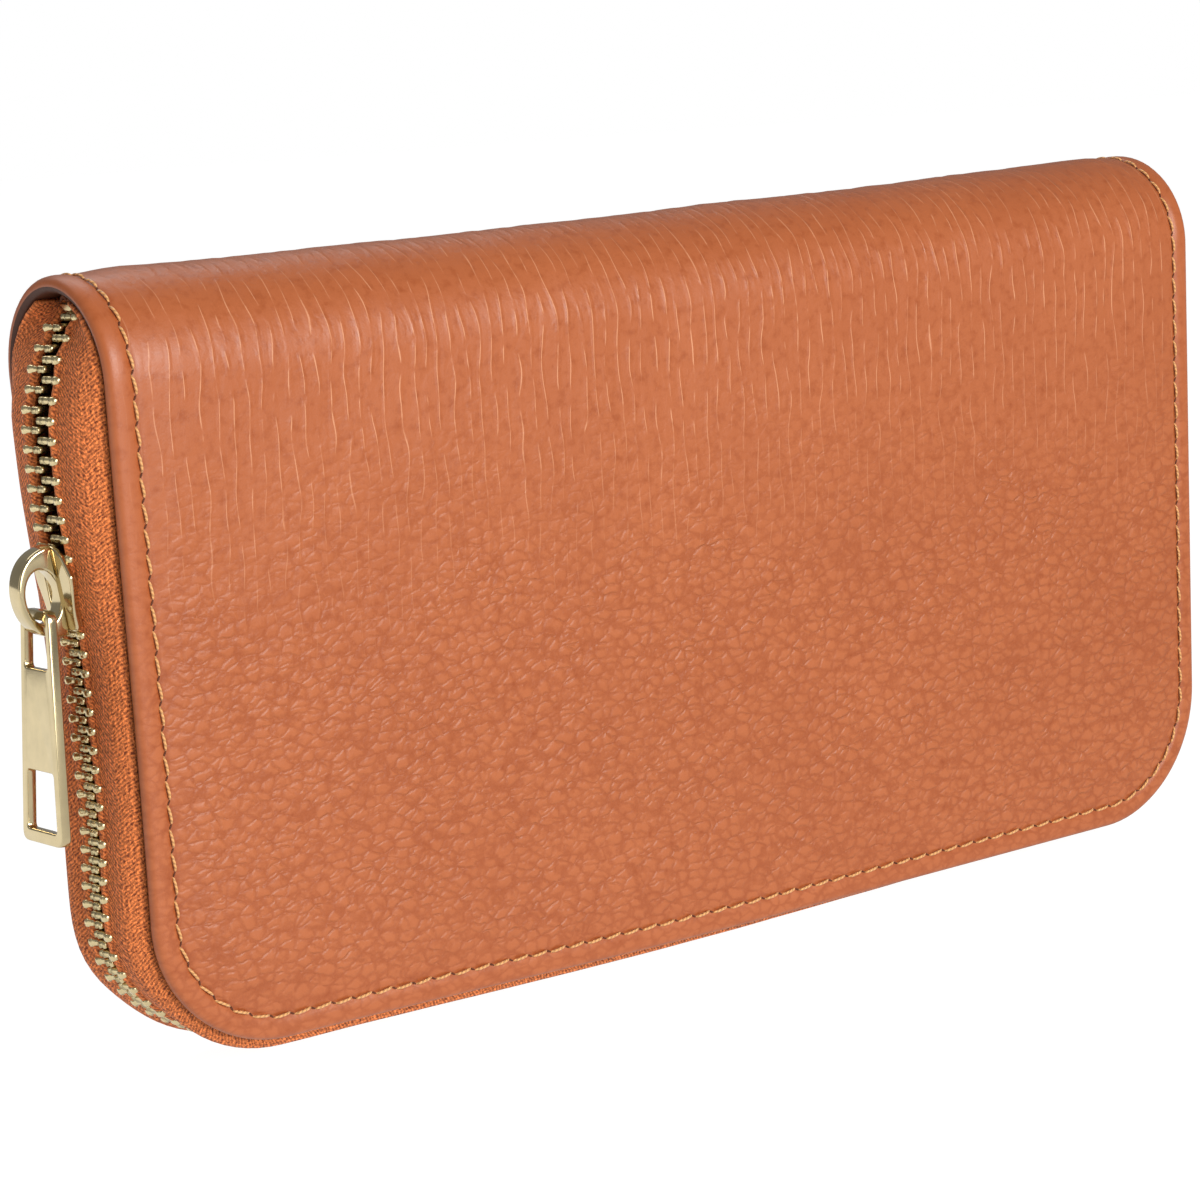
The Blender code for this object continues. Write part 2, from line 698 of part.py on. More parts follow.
clear_scene()
WALLET = make_collection("zip_around_wallet")
CUTTERS = make_collection("cutters")
MATERIALS = {finish: make_material(finish) for finish in FINISHES}
CENTRE = bpy.data.objects.new("wallet_centre", None)
CENTRE.location = (CENTRE_X, 0, 0)
WALLET.objects.link(CENTRE)
LEANS = {}
for half_side, half_sign in SIDES.items():
    LEANS[half_side] = bpy.data.objects.new(half_side + "_half_lean", None)
    WALLET.objects.link(LEANS[half_side])
    LEANS[half_side].parent = CENTRE
    LEANS[half_side].location = (0, 0, TOP_Z)
    LEANS[half_side].rotation_euler = (-half_sign * LEAN, 0, 0)
main()
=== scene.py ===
"""Looks for the zip-around wallet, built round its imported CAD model.

Lengths here are millimetres in the row frame; make_mesh() turns them into metres. X runs along
the wallet, the front cover is at -Y, and Z is up. Each half is drawn upright and then leans in
about the spine's top line.
"""

import json
from math import asin, copysign, cos, exp, hypot, pi, radians, sin, sqrt

import bmesh
import bpy
from mathutils import Matrix, Vector, noise


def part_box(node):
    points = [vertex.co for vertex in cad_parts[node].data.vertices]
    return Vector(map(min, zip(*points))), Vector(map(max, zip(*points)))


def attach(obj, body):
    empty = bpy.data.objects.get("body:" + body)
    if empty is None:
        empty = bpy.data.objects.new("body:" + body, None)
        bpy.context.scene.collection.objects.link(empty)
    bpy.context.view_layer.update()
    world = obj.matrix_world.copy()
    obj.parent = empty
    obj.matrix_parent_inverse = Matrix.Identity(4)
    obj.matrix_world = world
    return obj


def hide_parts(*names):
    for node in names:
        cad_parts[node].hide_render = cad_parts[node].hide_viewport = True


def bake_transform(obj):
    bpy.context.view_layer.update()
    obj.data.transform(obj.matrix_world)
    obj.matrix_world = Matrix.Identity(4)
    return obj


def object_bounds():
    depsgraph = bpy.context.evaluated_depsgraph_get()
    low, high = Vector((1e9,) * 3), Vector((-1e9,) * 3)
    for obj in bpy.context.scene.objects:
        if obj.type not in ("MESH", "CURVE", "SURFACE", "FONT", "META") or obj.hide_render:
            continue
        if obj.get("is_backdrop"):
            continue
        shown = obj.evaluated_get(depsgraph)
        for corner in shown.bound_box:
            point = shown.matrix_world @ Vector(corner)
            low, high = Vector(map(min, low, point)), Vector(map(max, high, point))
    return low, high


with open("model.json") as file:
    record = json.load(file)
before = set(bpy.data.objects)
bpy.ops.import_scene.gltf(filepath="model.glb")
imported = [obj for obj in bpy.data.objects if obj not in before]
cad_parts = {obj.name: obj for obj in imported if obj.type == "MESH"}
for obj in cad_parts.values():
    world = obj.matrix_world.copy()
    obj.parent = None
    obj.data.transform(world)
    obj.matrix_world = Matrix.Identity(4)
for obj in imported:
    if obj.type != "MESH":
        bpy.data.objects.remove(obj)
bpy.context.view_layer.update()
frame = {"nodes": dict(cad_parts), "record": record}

# ---- dimensions shared with the CAD model ----------------------------------------------------
LEATHER_LOW, LEATHER_HIGH = [corner * 1000 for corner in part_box("front_cover_leather")]
CENTRE_X = (LEATHER_LOW.x + LEATHER_HIGH.x) / 2
HALF_W = (LEATHER_HIGH.x - LEATHER_LOW.x) / 2
TOP_Z = round(LEATHER_HIGH.z, 1)
LEAN = radians(2.4)
HALF_T = 13.9
EDGE_Z = 2.5
CORNER = 20.0
PITCH = 2.54  # between the teeth of one row
SLIDER_Z = 67.5
SLIDER_OUT = 2.15  # outside the leather's edge
SLIDER_TILT = -8
MAIN_PULL, COIN_PULL = 30.5, 26.0  # lengths; the coin slider and its pull are drawn at half size
CLOSED_ROW, OPEN_ROW = 1.0, 2.0  # a row's distance from the chain's centre line
TAPE_Y = 11.35
SIDES = {"front": -1, "back": 1}
ENDS = {"left": -1, "right": 1}

# ---- the cover's section: one arc over the spine, touching both leaning covers ---------------
ARC_R = HALF_T / (1 + sin(LEAN))
ARC_Z = TOP_Z - ARC_R
ARC_LENGTH = ARC_R * (pi / 2 + LEAN)
FLAT_LENGTH = 91.2
HALF_V = ARC_LENGTH + FLAT_LENGTH  # half of the skin's length over the spine
SKIN = 2.2  # thickness where the leather is turned in
LIP = SKIN / 2
STITCH_IN = 3.4
STITCH_PITCH = 3.3
GROOVE = 0.30  # depth of the stitch line's groove
MERGE = 1e-6  # points closer than this, in metres, are one
PULL_BAR = 0.65  # from a pull's top edge down to the hinge in its bar
PULL_SWING = 3.7  # the hanging pull rests against the zip tape's bulge, in degrees
SPINE_SAG = 0.8
SPINE_FLARE = 1.1
CORNER_LIFT = 1.5


# ---- helpers ---------------------------------------------------------------------------------
def smooth(t):
    t = min(max(t, 0.0), 1.0)
    return t * t * (3 - 2 * t)


def spread(low, high, count):
    """Even steps from low to high, count of them."""
    return [low + (high - low) * i / count for i in range(count + 1)]


def around(sides, shift=0):
    """Even angles round a circle, sides of them."""
    return [2 * pi * (k + shift) / sides for k in range(sides)]


def course(table, at):
    """A value read off a table of (position, value) pairs, eased between them."""
    if at <= table[0][0]:
        return table[0][1]
    for (a, low), (b, high) in zip(table, table[1:]):
        if at <= b:
            return low + (high - low) * smooth((at - a) / (b - a))
    return table[-1][1]


def lean(sign, x, y, z):
    """Where a point drawn on an upright half is once the half leans in, in the row frame."""
    below = z - TOP_Z
    out = y * cos(LEAN) + below * sin(LEAN)
    z_new = TOP_Z + below * cos(LEAN) - y * sin(LEAN)
    return Vector((x + CENTRE_X, sign * out, z_new))


def section(v, n):
    """The point (y, z) at arc length v from the spine's top line, n outside the skin."""
    sign, length = (-1, -v) if v < 0 else (1, v)
    if length < ARC_LENGTH:
        a = pi / 2 - length / ARC_R
        y, z = ARC_R * cos(a), ARC_Z + ARC_R * sin(a)
        ny, nz = cos(a), sin(a)
    else:
        down = length - ARC_LENGTH
        ny, nz = cos(LEAN), -sin(LEAN)
        y = ARC_R * ny + down * nz
        z = ARC_Z + ARC_R * nz - down * ny
    return sign * (y + ny * n), z + nz * n


def skin(x, v, n):
    """A point on the cover: x along it, v over the spine, n outside its surface."""
    y, z = section(v, n)
    return settled(Vector((x + CENTRE_X, y, z)), x)


def settled(point, x):
    """Wear of a used wallet: the spine sags, one end flares and one lower corner rides up."""
    z = point.z
    left = max(-x / HALF_W, 0.0)
    point.x -= SPINE_FLARE * left**6 * smooth((z - 25) / 80)
    point.z -= SPINE_SAG * (1 - (x / HALF_W) ** 2) * smooth((z - 84) / (TOP_Z - 84))
    point.z += CORNER_LIFT * (1 - smooth((x + 85) / 90)) * (1 - smooth(z / 45))
    return point


def edge_distance(x, v):
    """How far a place on the flat skin is inside its rounded outline."""
    qx, qv = abs(x) - (HALF_W - CORNER), abs(v) - (HALF_V - CORNER)
    return CORNER - min(max(qx, qv), 0.0) - hypot(max(qx, 0.0), max(qv, 0.0))


def make_mesh(name, points, faces, material, uvs=None, values=None):
    """A mesh object from points in millimetres, with one UV pair and one edge value per point."""
    mesh = bpy.data.meshes.new(name)
    mesh.from_pydata([tuple(c / 1000 for c in p) for p in points], [], faces)
    if uvs:
        layer = mesh.uv_layers.new(name="flat")
        for loop in mesh.loops:
            layer.data[loop.index].uv = uvs[loop.vertex_index]
    if values:
        attribute = mesh.attributes.new("edge", "FLOAT", "POINT")
        attribute.data.foreach_set("value", values)
    obj = bpy.data.objects.new(name, mesh)
    bpy.context.scene.collection.objects.link(obj)
    mesh.materials.append(material)
    mesh.polygons.foreach_set("use_smooth", [True] * len(mesh.polygons))
    return obj


def recalc_normals(obj, merge=None):
    """Turns every face outward, after joining points closer than merge metres."""
    shape = bmesh.new()
    shape.from_mesh(obj.data)
    if merge:
        bmesh.ops.remove_doubles(shape, verts=shape.verts, dist=merge)
    bmesh.ops.recalc_face_normals(shape, faces=shape.faces)
    shape.to_mesh(obj.data)
    shape.free()


def solidify(obj, thickness):
    shell = obj.modifiers.new("thickness", "SOLIDIFY")
    shell.thickness = thickness / 1000
    shell.offset = 0.0
    graph = bpy.context.evaluated_depsgraph_get()
    mesh = bpy.data.meshes.new_from_object(obj.evaluated_get(graph))
    obj.modifiers.clear()
    obj.data = mesh


def grid_faces(rows, columns):
    return [
        (a, a + 1, a + 1 + columns, a + columns)
        for r in range(rows - 1)
        for a in range(r * columns, r * columns + columns - 1)
    ]


def tube_faces(start, rings, sides):
    """Faces of a closed tube: its first end, its sides, its last end."""
    faces = [tuple(range(start, start + sides))[::-1]]
    for first in range(start, start + (rings - 1) * sides, sides):
        for k in range(sides):
            a, b = first + k, first + (k + 1) % sides
            faces.append((a, b, b + sides, a + sides))
    last = start + (rings - 1) * sides
    return [*faces, tuple(range(last, last + sides))]


def sheet_object(name, rows, material, thickness):
    """A sheet through equal rows of points, given a thickness; its UVs are its own length."""
    columns = len(rows[0])
    points = [p for row in rows for p in row]
    uvs = []
    along = 0.0
    for r, row in enumerate(rows):
        if r:
            along += (row[columns // 2] - rows[r - 1][columns // 2]).length
        across = 0.0
        for c, p in enumerate(row):
            if c:
                across += (p - row[c - 1]).length
            uvs.append((across, along))
    obj = make_mesh(name, points, grid_faces(len(rows), columns), material, uvs)
    recalc_normals(obj)
    solidify(obj, thickness)
    return obj


def spline(points, steps):
    """A smooth line through points (Catmull-Rom)."""
    padded = [2 * points[0] - points[1], *points, 2 * points[-1] - points[-2]]
    out = []
    for p0, p1, p2, p3 in zip(padded, padded[1:], padded[2:], padded[3:]):
        for i in range(steps):
            t = i / steps
            square = (2 * p0 - 5 * p1 + 4 * p2 - p3) * t**2
            cube = (3 * p1 - p0 - 3 * p2 + p3) * t**3
            out.append(0.5 * (2 * p1 + (p2 - p0) * t + square + cube))
    return [*out, points[-1]]


def settle(obj, nodes=(), body=None):
    """Hides the nodes a piece stands for and hangs it on the body it rides on.

    Without a body, the piece's own transform is baked into its mesh.
    """
    if nodes:
        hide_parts(*nodes)
    if body:
        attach(obj, body)
        return
    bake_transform(obj)


# ---- materials -------------------------------------------------------------------------------
class Shader:
    """A material's node tree with short ways to add nodes."""

    def __init__(self, name):
        self.material = bpy.data.materials.new(name)
        self.material.use_nodes = True
        self.nodes = self.material.node_tree.nodes
        self.links = self.material.node_tree.links
        self.bsdf = self.nodes["Principled BSDF"]

    def node(self, kind, values=None, **settings):
        made = self.nodes.new("ShaderNode" + kind)
        for key, value in settings.items():
            setattr(made, key, value)
        for socket, value in (values or {}).items():
            if isinstance(value, bpy.types.NodeSocket):
                self.links.new(value, made.inputs[socket])
            else:
                made.inputs[socket].default_value = value
        return made

    def flat(self):
        """The piece laid flat, in millimetres."""
        return self.node("UVMap", uv_map="flat").outputs[0]

    def scaled(self, vector, x, y, z=1.0):
        return self.node("Mapping", {"Vector": vector, "Scale": (x, y, z)}).outputs[0]

    def place(self, scale=1000.0):
        """The place on the object, in millimetres."""
        return self.scaled(self.node("TexCoord").outputs["Object"], scale, scale, scale)

    def noise(self, vector, scale, detail=2.0, rough=0.5):
        values = {"Vector": vector, "Scale": scale, "Detail": detail, "Roughness": rough}
        return self.node("TexNoise", values).outputs["Fac"]

    def cells(self, vector, scale, feature="F1"):
        values = {"Vector": vector, "Scale": scale}
        return self.node("TexVoronoi", values, feature=feature).outputs["Distance"]

    def math(self, operation, a, b=0.5):
        return self.node("Math", {0: a, 1: b}, operation=operation).outputs[0]

    def times(self, first, *rest):
        for value in rest:
            first = self.math("MULTIPLY", first, value)
        return first

    def plus(self, a, b):
        return self.math("ADD", a, b)

    def axes(self, vector):
        return self.node("SeparateXYZ", {"Vector": vector}).outputs[:2]

    def ramp(self, fac, stops):
        made = self.node("ValToRGB", {"Fac": fac})
        elements = made.color_ramp.elements
        while len(elements) < len(stops):
            elements.new(0.5)
        for element, (position, colour) in zip(elements, stops):
            element.position = position
            element.color = (*colour, 1.0)
        return made.outputs["Color"]

    def mix(self, fac, a, b):
        made = self.node("Mix", {"Factor": fac}, data_type="RGBA")
        for socket, value in ((made.inputs[6], a), (made.inputs[7], b)):
            if isinstance(value, bpy.types.NodeSocket):
                self.links.new(value, socket)
            else:
                socket.default_value = (*value, 1.0)
        return made.outputs[2]

    def remap(self, value, low, high, to_low, to_high, kind="LINEAR"):
        values = {"Value": value, "From Min": low, "From Max": high}
        values.update({"To Min": to_low, "To Max": to_high})
        return self.node("MapRange", values, interpolation_type=kind).outputs[0]

    def bump(self, height, strength, distance, normal=None):
        values = {"Height": height, "Strength": strength, "Distance": distance / 1000}
        if normal:
            values["Normal"] = normal
        return self.node("Bump", values).outputs[0]

    def done(self, **inputs):
        for name, value in inputs.items():
            socket = self.bsdf.inputs[name.replace("_", " ")]
            if isinstance(value, bpy.types.NodeSocket):
                self.links.new(value, socket)
            else:
                socket.default_value = value
        return self.material


def shade(linear, factor):
    return tuple(c * factor for c in linear)


def leather_material(name, base, shade_and_deep_tone, ridge_highlight):
    """Pebbled calf leather: soft cells, fine grain, stretched creases near the spine, with
    painted shade in the valleys and painted highlights on the spine's ridges and the turned edge.
    """
    s = Shader(name)
    flat = s.flat()
    sway = s.node("TexNoise", {"Vector": flat, "Scale": 0.35, "Detail": 2.0}).outputs["Color"]
    sway = s.node("VectorMath", {0: sway, 1: (0.5, 0.5, 0.5)}, operation="SUBTRACT").outputs[0]
    sway = s.node("VectorMath", {0: sway, "Scale": 1.7}, operation="SCALE").outputs[0]
    moved = s.node("VectorMath", {0: flat, 1: sway}, operation="ADD").outputs[0]

    # pebbles: domes with broken valleys between them
    pebble = s.scaled(moved, 0.42, 0.74)
    valleys = s.cells(pebble, 1.0, "DISTANCE_TO_EDGE")
    valleys = s.remap(valleys, 0.0, 0.27, 1.0, 0.0, "SMOOTHSTEP")
    broken = s.remap(s.noise(flat, 0.55), 0.36, 0.58, 0.30, 1.0)
    valleys = s.math("SUBTRACT", 1.0, s.times(valleys, broken))
    soft = s.remap(s.cells(pebble, 1.0, "SMOOTH_F1"), 0.05, 0.65, 1.0, 0.0)
    domes = s.plus(s.times(valleys, 0.62), s.times(soft, 0.38))

    # near the spine: long domes, and short broken lines across the pull of the skin
    long_domes = s.cells(s.scaled(moved, 0.42, 0.15), 1.0, "DISTANCE_TO_EDGE")
    long_domes = s.remap(long_domes, 0.0, 0.30, 0.0, 1.0, "SMOOTHSTEP")
    flat_x, flat_v = s.axes(flat)
    drift = s.times(s.noise(s.scaled(flat, 0.20, 0.09), 1.0, 1.0), 1.3)
    lines = s.math("FRACT", s.plus(s.times(flat_x, 0.46), drift))
    lines = s.math("ABSOLUTE", s.math("SUBTRACT", lines, 0.5))
    gaps = s.remap(s.noise(s.scaled(flat, 0.46, 0.24), 1.0), 0.42, 0.55, 0.0, 1.0)
    ridges = s.remap(lines, 0.0, 0.30, 0.36, 0.0, "SMOOTHSTEP")
    ridges = s.times(ridges, s.remap(gaps, 0.0, 1.0, 0.12, 1.0))
    down = s.plus(s.math("ABSOLUTE", flat_v), s.times(s.noise(flat, 0.06, 1.0), 26.0))
    near_spine = s.remap(down, 40.0, 74.0, 1.0, 0.0)
    cells = s.mix(near_spine, domes, s.plus(s.times(long_domes, 0.16), ridges))

    depth = s.remap(s.noise(flat, 0.12), 0.3, 0.7, 0.5, 1.0)
    edge = s.node("Attribute", attribute_name="edge").outputs["Fac"]
    inner = s.remap(edge, 2.6, 7.0, 0.12, 1.0)
    slow = s.noise(flat, 0.045, 3.0)
    mottle = s.noise(flat, 0.55, 3.0, 0.6)
    tone = s.plus(s.times(s.mix(near_spine, domes, (0.7, 0.7, 0.7)), 0.42), mottle)
    # painted shade: the valleys between the domes take the darker colour, as shade in the grain's
    # crevices
    colour = s.ramp(tone, [(0.45, shade_and_deep_tone), (0.78, shade(base, 0.97)), (1.0, base)])
    # painted highlight: pale strokes along the ridge lines near the spine stand in for light
    # caught by the stretched ridges
    highlight_strokes = s.remap(lines, 0.0, 0.05, 1.0, 0.0)
    on_face = s.remap(down, 14.0, 30.0, 0.10, 0.74)
    highlight_strokes = s.times(highlight_strokes, near_spine, gaps, on_face, inner)
    colour = s.mix(s.times(near_spine, 0.17), colour, shade_and_deep_tone)
    colour = s.mix(highlight_strokes, colour, ridge_highlight)
    colour = s.mix(s.remap(slow, 0.35, 0.7, 0.0, 0.22), colour, shade_and_deep_tone)
    # painted highlight: the turned edge is lightened, standing in for light along its rounded lip
    colour = s.mix(s.remap(edge, 0.0, 2.0, 0.30, 0.0), colour, shade(base, 1.10))
    speck = s.remap(s.noise(flat, 5.5, 2.0, 0.7), 0.68, 0.74, 0.0, 0.5)
    colour = s.mix(speck, colour, shade(base, 1.3))
    normal = s.bump(s.times(cells, inner, depth), 1.0, 0.24)
    normal = s.bump(s.noise(flat, 3.2, 4.0, 0.6), 0.6, 0.05, normal)
    rough = s.plus(s.remap(mottle, 0.3, 0.7, 0.34, 0.45), s.times(inner, 0.04))
    return s.done(Base_Color=colour, Roughness=rough, Normal=normal, Specular_IOR_Level=0.45)


def weave_material(name, dark, light, yarn=0.56):
    """Herringbone-woven polyester tape: short slanted floats, with painted shade between them and
    a painted sparkle of highlights on them.
    """
    s = Shader(name)
    flat = s.flat()
    u, v = s.axes(flat)
    turn = 2 * pi / yarn
    wander = s.times(s.noise(flat, 0.9, 3.0), 0.9)
    fold = s.math("ABSOLUTE", s.math("SUBTRACT", u, 9.6))
    slant = s.plus(s.plus(v, wander), s.times(fold, 0.75))
    ribs = s.math("SINE", s.times(slant, turn))
    columns = s.math("SINE", s.times(s.plus(u, wander), turn * 0.8))
    fuzz = s.remap(s.noise(s.scaled(flat, 1.5, 1.0), 1.7, 3.0, 0.8), 0.33, 0.67, 0.0, 1.0)
    weave = s.plus(s.plus(s.times(ribs, 0.20), s.times(columns, 0.09)), fuzz)
    # the ramp paints the shade between the floats dark and their highlights brighter than the
    # yarn, over the weave's pattern
    stops = [(0.02, dark), (0.46, shade(light, 0.66)), (0.78, light), (1.0, shade(light, 1.5))]
    colour = s.ramp(weave, stops)
    normal = s.bump(weave, 0.9, 0.18)
    return s.done(Base_Color=colour, Roughness=0.58, Normal=normal, Specular_IOR_Level=0.3)


def thread_material(name, colour):
    """Twisted sewing thread."""
    s = Shader(name)
    around, along = s.axes(s.flat())
    ply = s.math("SINE", s.plus(s.times(along, 9.0), around))
    # painted shade: the thread darkens in the grooves between its plies
    tone = s.ramp(s.remap(ply, -1, 1, 0, 1), [(0.0, shade(colour, 0.62)), (0.7, colour)])
    normal = s.bump(ply, 0.5, 0.08)
    return s.done(Base_Color=tone, Roughness=0.5, Normal=normal, Sheen_Weight=0.2)


def metal_material(name, colour, roughness, marks=0.03):
    """Plated metal with faint polishing marks and slightly uneven gloss."""
    s = Shader(name)
    place = s.place()
    smear = s.noise(place, 0.35, 3.0)
    fine = s.noise(place, 6.0, 3.0, 0.7)
    rough = s.plus(s.times(smear, 0.10), roughness - 0.05)
    rough = s.plus(rough, s.times(fine, marks))
    tone = s.mix(s.remap(smear, 0.35, 0.7, 0.0, 1.0), colour, shade(colour, 0.90))
    normal = s.bump(s.plus(smear, s.times(fine, 0.1)), 0.12, 0.05)
    return s.done(Base_Color=tone, Roughness=rough, Normal=normal, Metallic=1.0)


def lining_material(name, colour):
    """Thin smooth lining leather with a fine printed grain."""
    s = Shader(name)
    place = s.place()
    grain = s.cells(place, 1.6)
    fine = s.noise(place, 4.0, 3.0, 0.6)
    slow = s.noise(place, 0.05)
    tone = s.mix(s.remap(grain, 0.0, 0.8, 0.0, 0.5), colour, shade(colour, 0.7))
    tone = s.mix(s.remap(slow, 0.3, 0.7, 0.0, 0.25), tone, shade(colour, 1.15))
    normal = s.bump(grain, 0.3, 0.08, s.bump(fine, 0.25, 0.03))
    return s.done(Base_Color=tone, Roughness=0.55, Normal=normal, Specular_IOR_Level=0.35)


def fibre_material(name, colour):
    """Matt felted fibre: the boards, and the painted shadow in the needle holes."""
    s = Shader(name)
    fibre = s.noise(s.place(), 2.0, 5.0, 0.7)
    tone = s.mix(fibre, shade(colour, 0.75), shade(colour, 1.2))
    return s.done(Base_Color=tone, Roughness=0.9, Normal=s.bump(fibre, 0.4, 0.05))


TAN = (0.435, 0.120, 0.037)
# darker tan: painted shade in the grain's valleys, and the leather's own deeper tone in slow
# blotches and towards the spine
TAN_SHADE_AND_DEEP = (0.290, 0.060, 0.012)
# painted highlight colour for the ridges near the spine
RIDGE_HIGHLIGHT = (0.78, 0.39, 0.22)
LEATHER = leather_material("tan_pebble_leather", TAN, TAN_SHADE_AND_DEEP, RIDGE_HIGHLIGHT)
TAPE = weave_material("twill_zip_tape", (0.18, 0.032, 0.009), (0.92, 0.250, 0.066))
THREAD = thread_material("gold_orange_thread", (0.76, 0.38, 0.13))
HOLE_SHADOW = fibre_material("needle_hole_shadow", (0.10, 0.025, 0.008))
GOLD = metal_material("polished_pale_gold", (0.70, 0.575, 0.34), 0.12)
BRASS = metal_material("satin_gold_teeth", (0.78, 0.64, 0.36), 0.22, 0.08)
LINING = lining_material("lining_leather", (0.17, 0.048, 0.016))
# painted shade: the skin's deep faces, inside the wallet, darker than the lining
INSIDE_SHADE = lining_material("shaded_inner_face", (0.07, 0.02, 0.007))
BOARD = fibre_material("fibre_board", (0.30, 0.22, 0.14))
CARRIED = {
    "tan_leather": LEATHER,
    "board": BOARD,
    "zip_tape": TAPE,
    "lining": LINING,
    "gold": GOLD,
    "brass_teeth": BRASS,
}


# ---- leather cover ---------------------------------------------------------------------------
GRID_X, GRID_V, CORNER_STEPS = 118, 142, 22


def skin_rings():
    """Distances in from the outline and heights, from the outer face over the lip inward."""
    outer = [20, 17, 14.5, 12.5, 11, 9.7, 8.6, 7.7, 6.9, 6.2, 5.6, 5.0, 4.5, 4.1, 3.8, 3.55]
    outer += [3.4, 3.2, 2.95, 2.6, 2.2, 1.8, 1.45, LIP]
    rings = [(d, 0.0) for d in outer]
    for i in range(1, 9):
        a = pi * i / 9
        rings.append((LIP - LIP * sin(a), LIP * cos(a) - LIP))
    rings += [(LIP, -SKIN), (2.5, -SKIN), (5.0, -SKIN), (10.0, -SKIN), (20, -SKIN)]
    return rings


def skin_relief(x, v, outside):
    """How far the outer face stands off its plain section: padding, stitch groove, creases."""
    inside = edge_distance(x, v)
    padded = 0.42 * smooth((inside - STITCH_IN - 0.1) / 6.5)
    groove = -GROOVE * exp(-(((inside - STITCH_IN) / 0.42) ** 2))
    band = 0.10 * exp(-(((inside - 1.9) / 0.8) ** 2))
    middle = smooth((inside - 4.0) / 8.0)
    slow = noise.noise(Vector((x * 0.035, v * 0.035, 3.0))) * 0.45
    lumps = noise.noise(Vector((x * 0.22, v * 0.22, 7.0))) * 0.10
    near_spine = 1 - smooth((abs(v) - 24) / 26)
    creases = noise.noise(Vector((x * 0.55, v * 0.07, 11.0))) * 0.10 * near_spine
    return outside * (padded + groove + band + middle * (slow + lumps + creases))


def cover_skin():
    """Both covers and the spine as one turned-in skin, its deep faces painted darker than the
    lining as shade.
    """
    shape = bmesh.new()

    def patch(rows):
        verts = [[shape.verts.new(p) for p in row] for row in rows]
        for a, b in zip(verts, verts[1:]):
            for i in range(len(a) - 1):
                shape.faces.new((a[i], a[i + 1], b[i + 1], b[i]))

    rings = skin_rings()
    cx, cv = HALF_W - CORNER, HALF_V - CORNER
    xs, vs = spread(-cx, cx, GRID_X), spread(-cv, cv, GRID_V)
    for height in (0.0, -SKIN):
        patch([[(x, v, height) for x in xs] for v in vs])
    for sign in (-1, 1):
        patch([[(x, sign * (HALF_V - d), n) for x in xs] for d, n in rings])
        patch([[(sign * (HALF_W - d), v, n) for v in vs] for d, n in rings])
    for sx in (-1, 1):
        for sv in (-1, 1):
            rows = []
            for d, n in rings:
                row = []
                reach = max(CORNER - d, 0.0)
                for a in spread(0, pi / 2, CORNER_STEPS):
                    x, v = cx + reach * cos(a), cv + reach * sin(a)
                    row.append((sx * x, sv * v, n))
                rows.append(row)
            patch(rows)
    bmesh.ops.remove_doubles(shape, verts=shape.verts, dist=1e-3)
    degenerate = [f for f in shape.faces if len(f.verts) < 3 or f.calc_area() < 1e-9]
    bmesh.ops.delete(shape, geom=degenerate, context="FACES_ONLY")
    bmesh.ops.recalc_face_normals(shape, faces=shape.faces)
    shape.verts.index_update()
    points, uvs, values = [], [], []
    for vert in shape.verts:
        x, v, n = vert.co
        outside = smooth((n + LIP) / LIP) if n < 0 else 1.0
        points.append(skin(x, v, n + skin_relief(x, v, outside)))
        uvs.append((x, v))
        values.append(edge_distance(x, v) if n > -LIP else 2.0)
    faces = [[v.index for v in f.verts] for f in shape.faces]
    deep = [all(v.co.z < -LIP for v in f.verts) for f in shape.faces]
    shape.free()
    obj = make_mesh("cover_skin", points, faces, LEATHER, uvs, values)
    recalc_normals(obj)
    obj.data.materials.append(INSIDE_SHADE)
    for polygon, is_deep in zip(obj.data.polygons, deep):
        polygon.material_index = int(is_deep)
    settle(obj, ("front_cover_leather", "back_cover_leather"))


def outline_point(distance, inset):
    """Place and direction on the outline drawn in by inset, at a distance round it."""
    radius = CORNER - inset
    cx, cv = HALF_W - CORNER, HALF_V - CORNER
    quarter = pi / 2 * radius
    parts = [(2 * cx, 0), (quarter, 1), (2 * cv, 0), (quarter, 1)] * 2
    heading, x, v = 0.0, -cx, -(HALF_V - inset)
    for length, turning in parts:
        step = min(distance, length)
        if turning:
            a = step / radius
            x += radius * (sin(heading + a) - sin(heading))
            v += radius * (cos(heading) - cos(heading + a))
            heading += a
        else:
            x, v = x + step * cos(heading), v + step * sin(heading)
        distance -= step
        if distance <= 1e-9:
            break
    return x, v, heading


def outline_length(inset):
    return 4 * (HALF_W + HALF_V - 2 * CORNER) + 2 * pi * (CORNER - inset)


def thread_size(radius, t):
    """A stitch thins towards its two ends, at t = -1 and 1."""
    return radius * (1 - 0.45 * abs(t) ** 5)


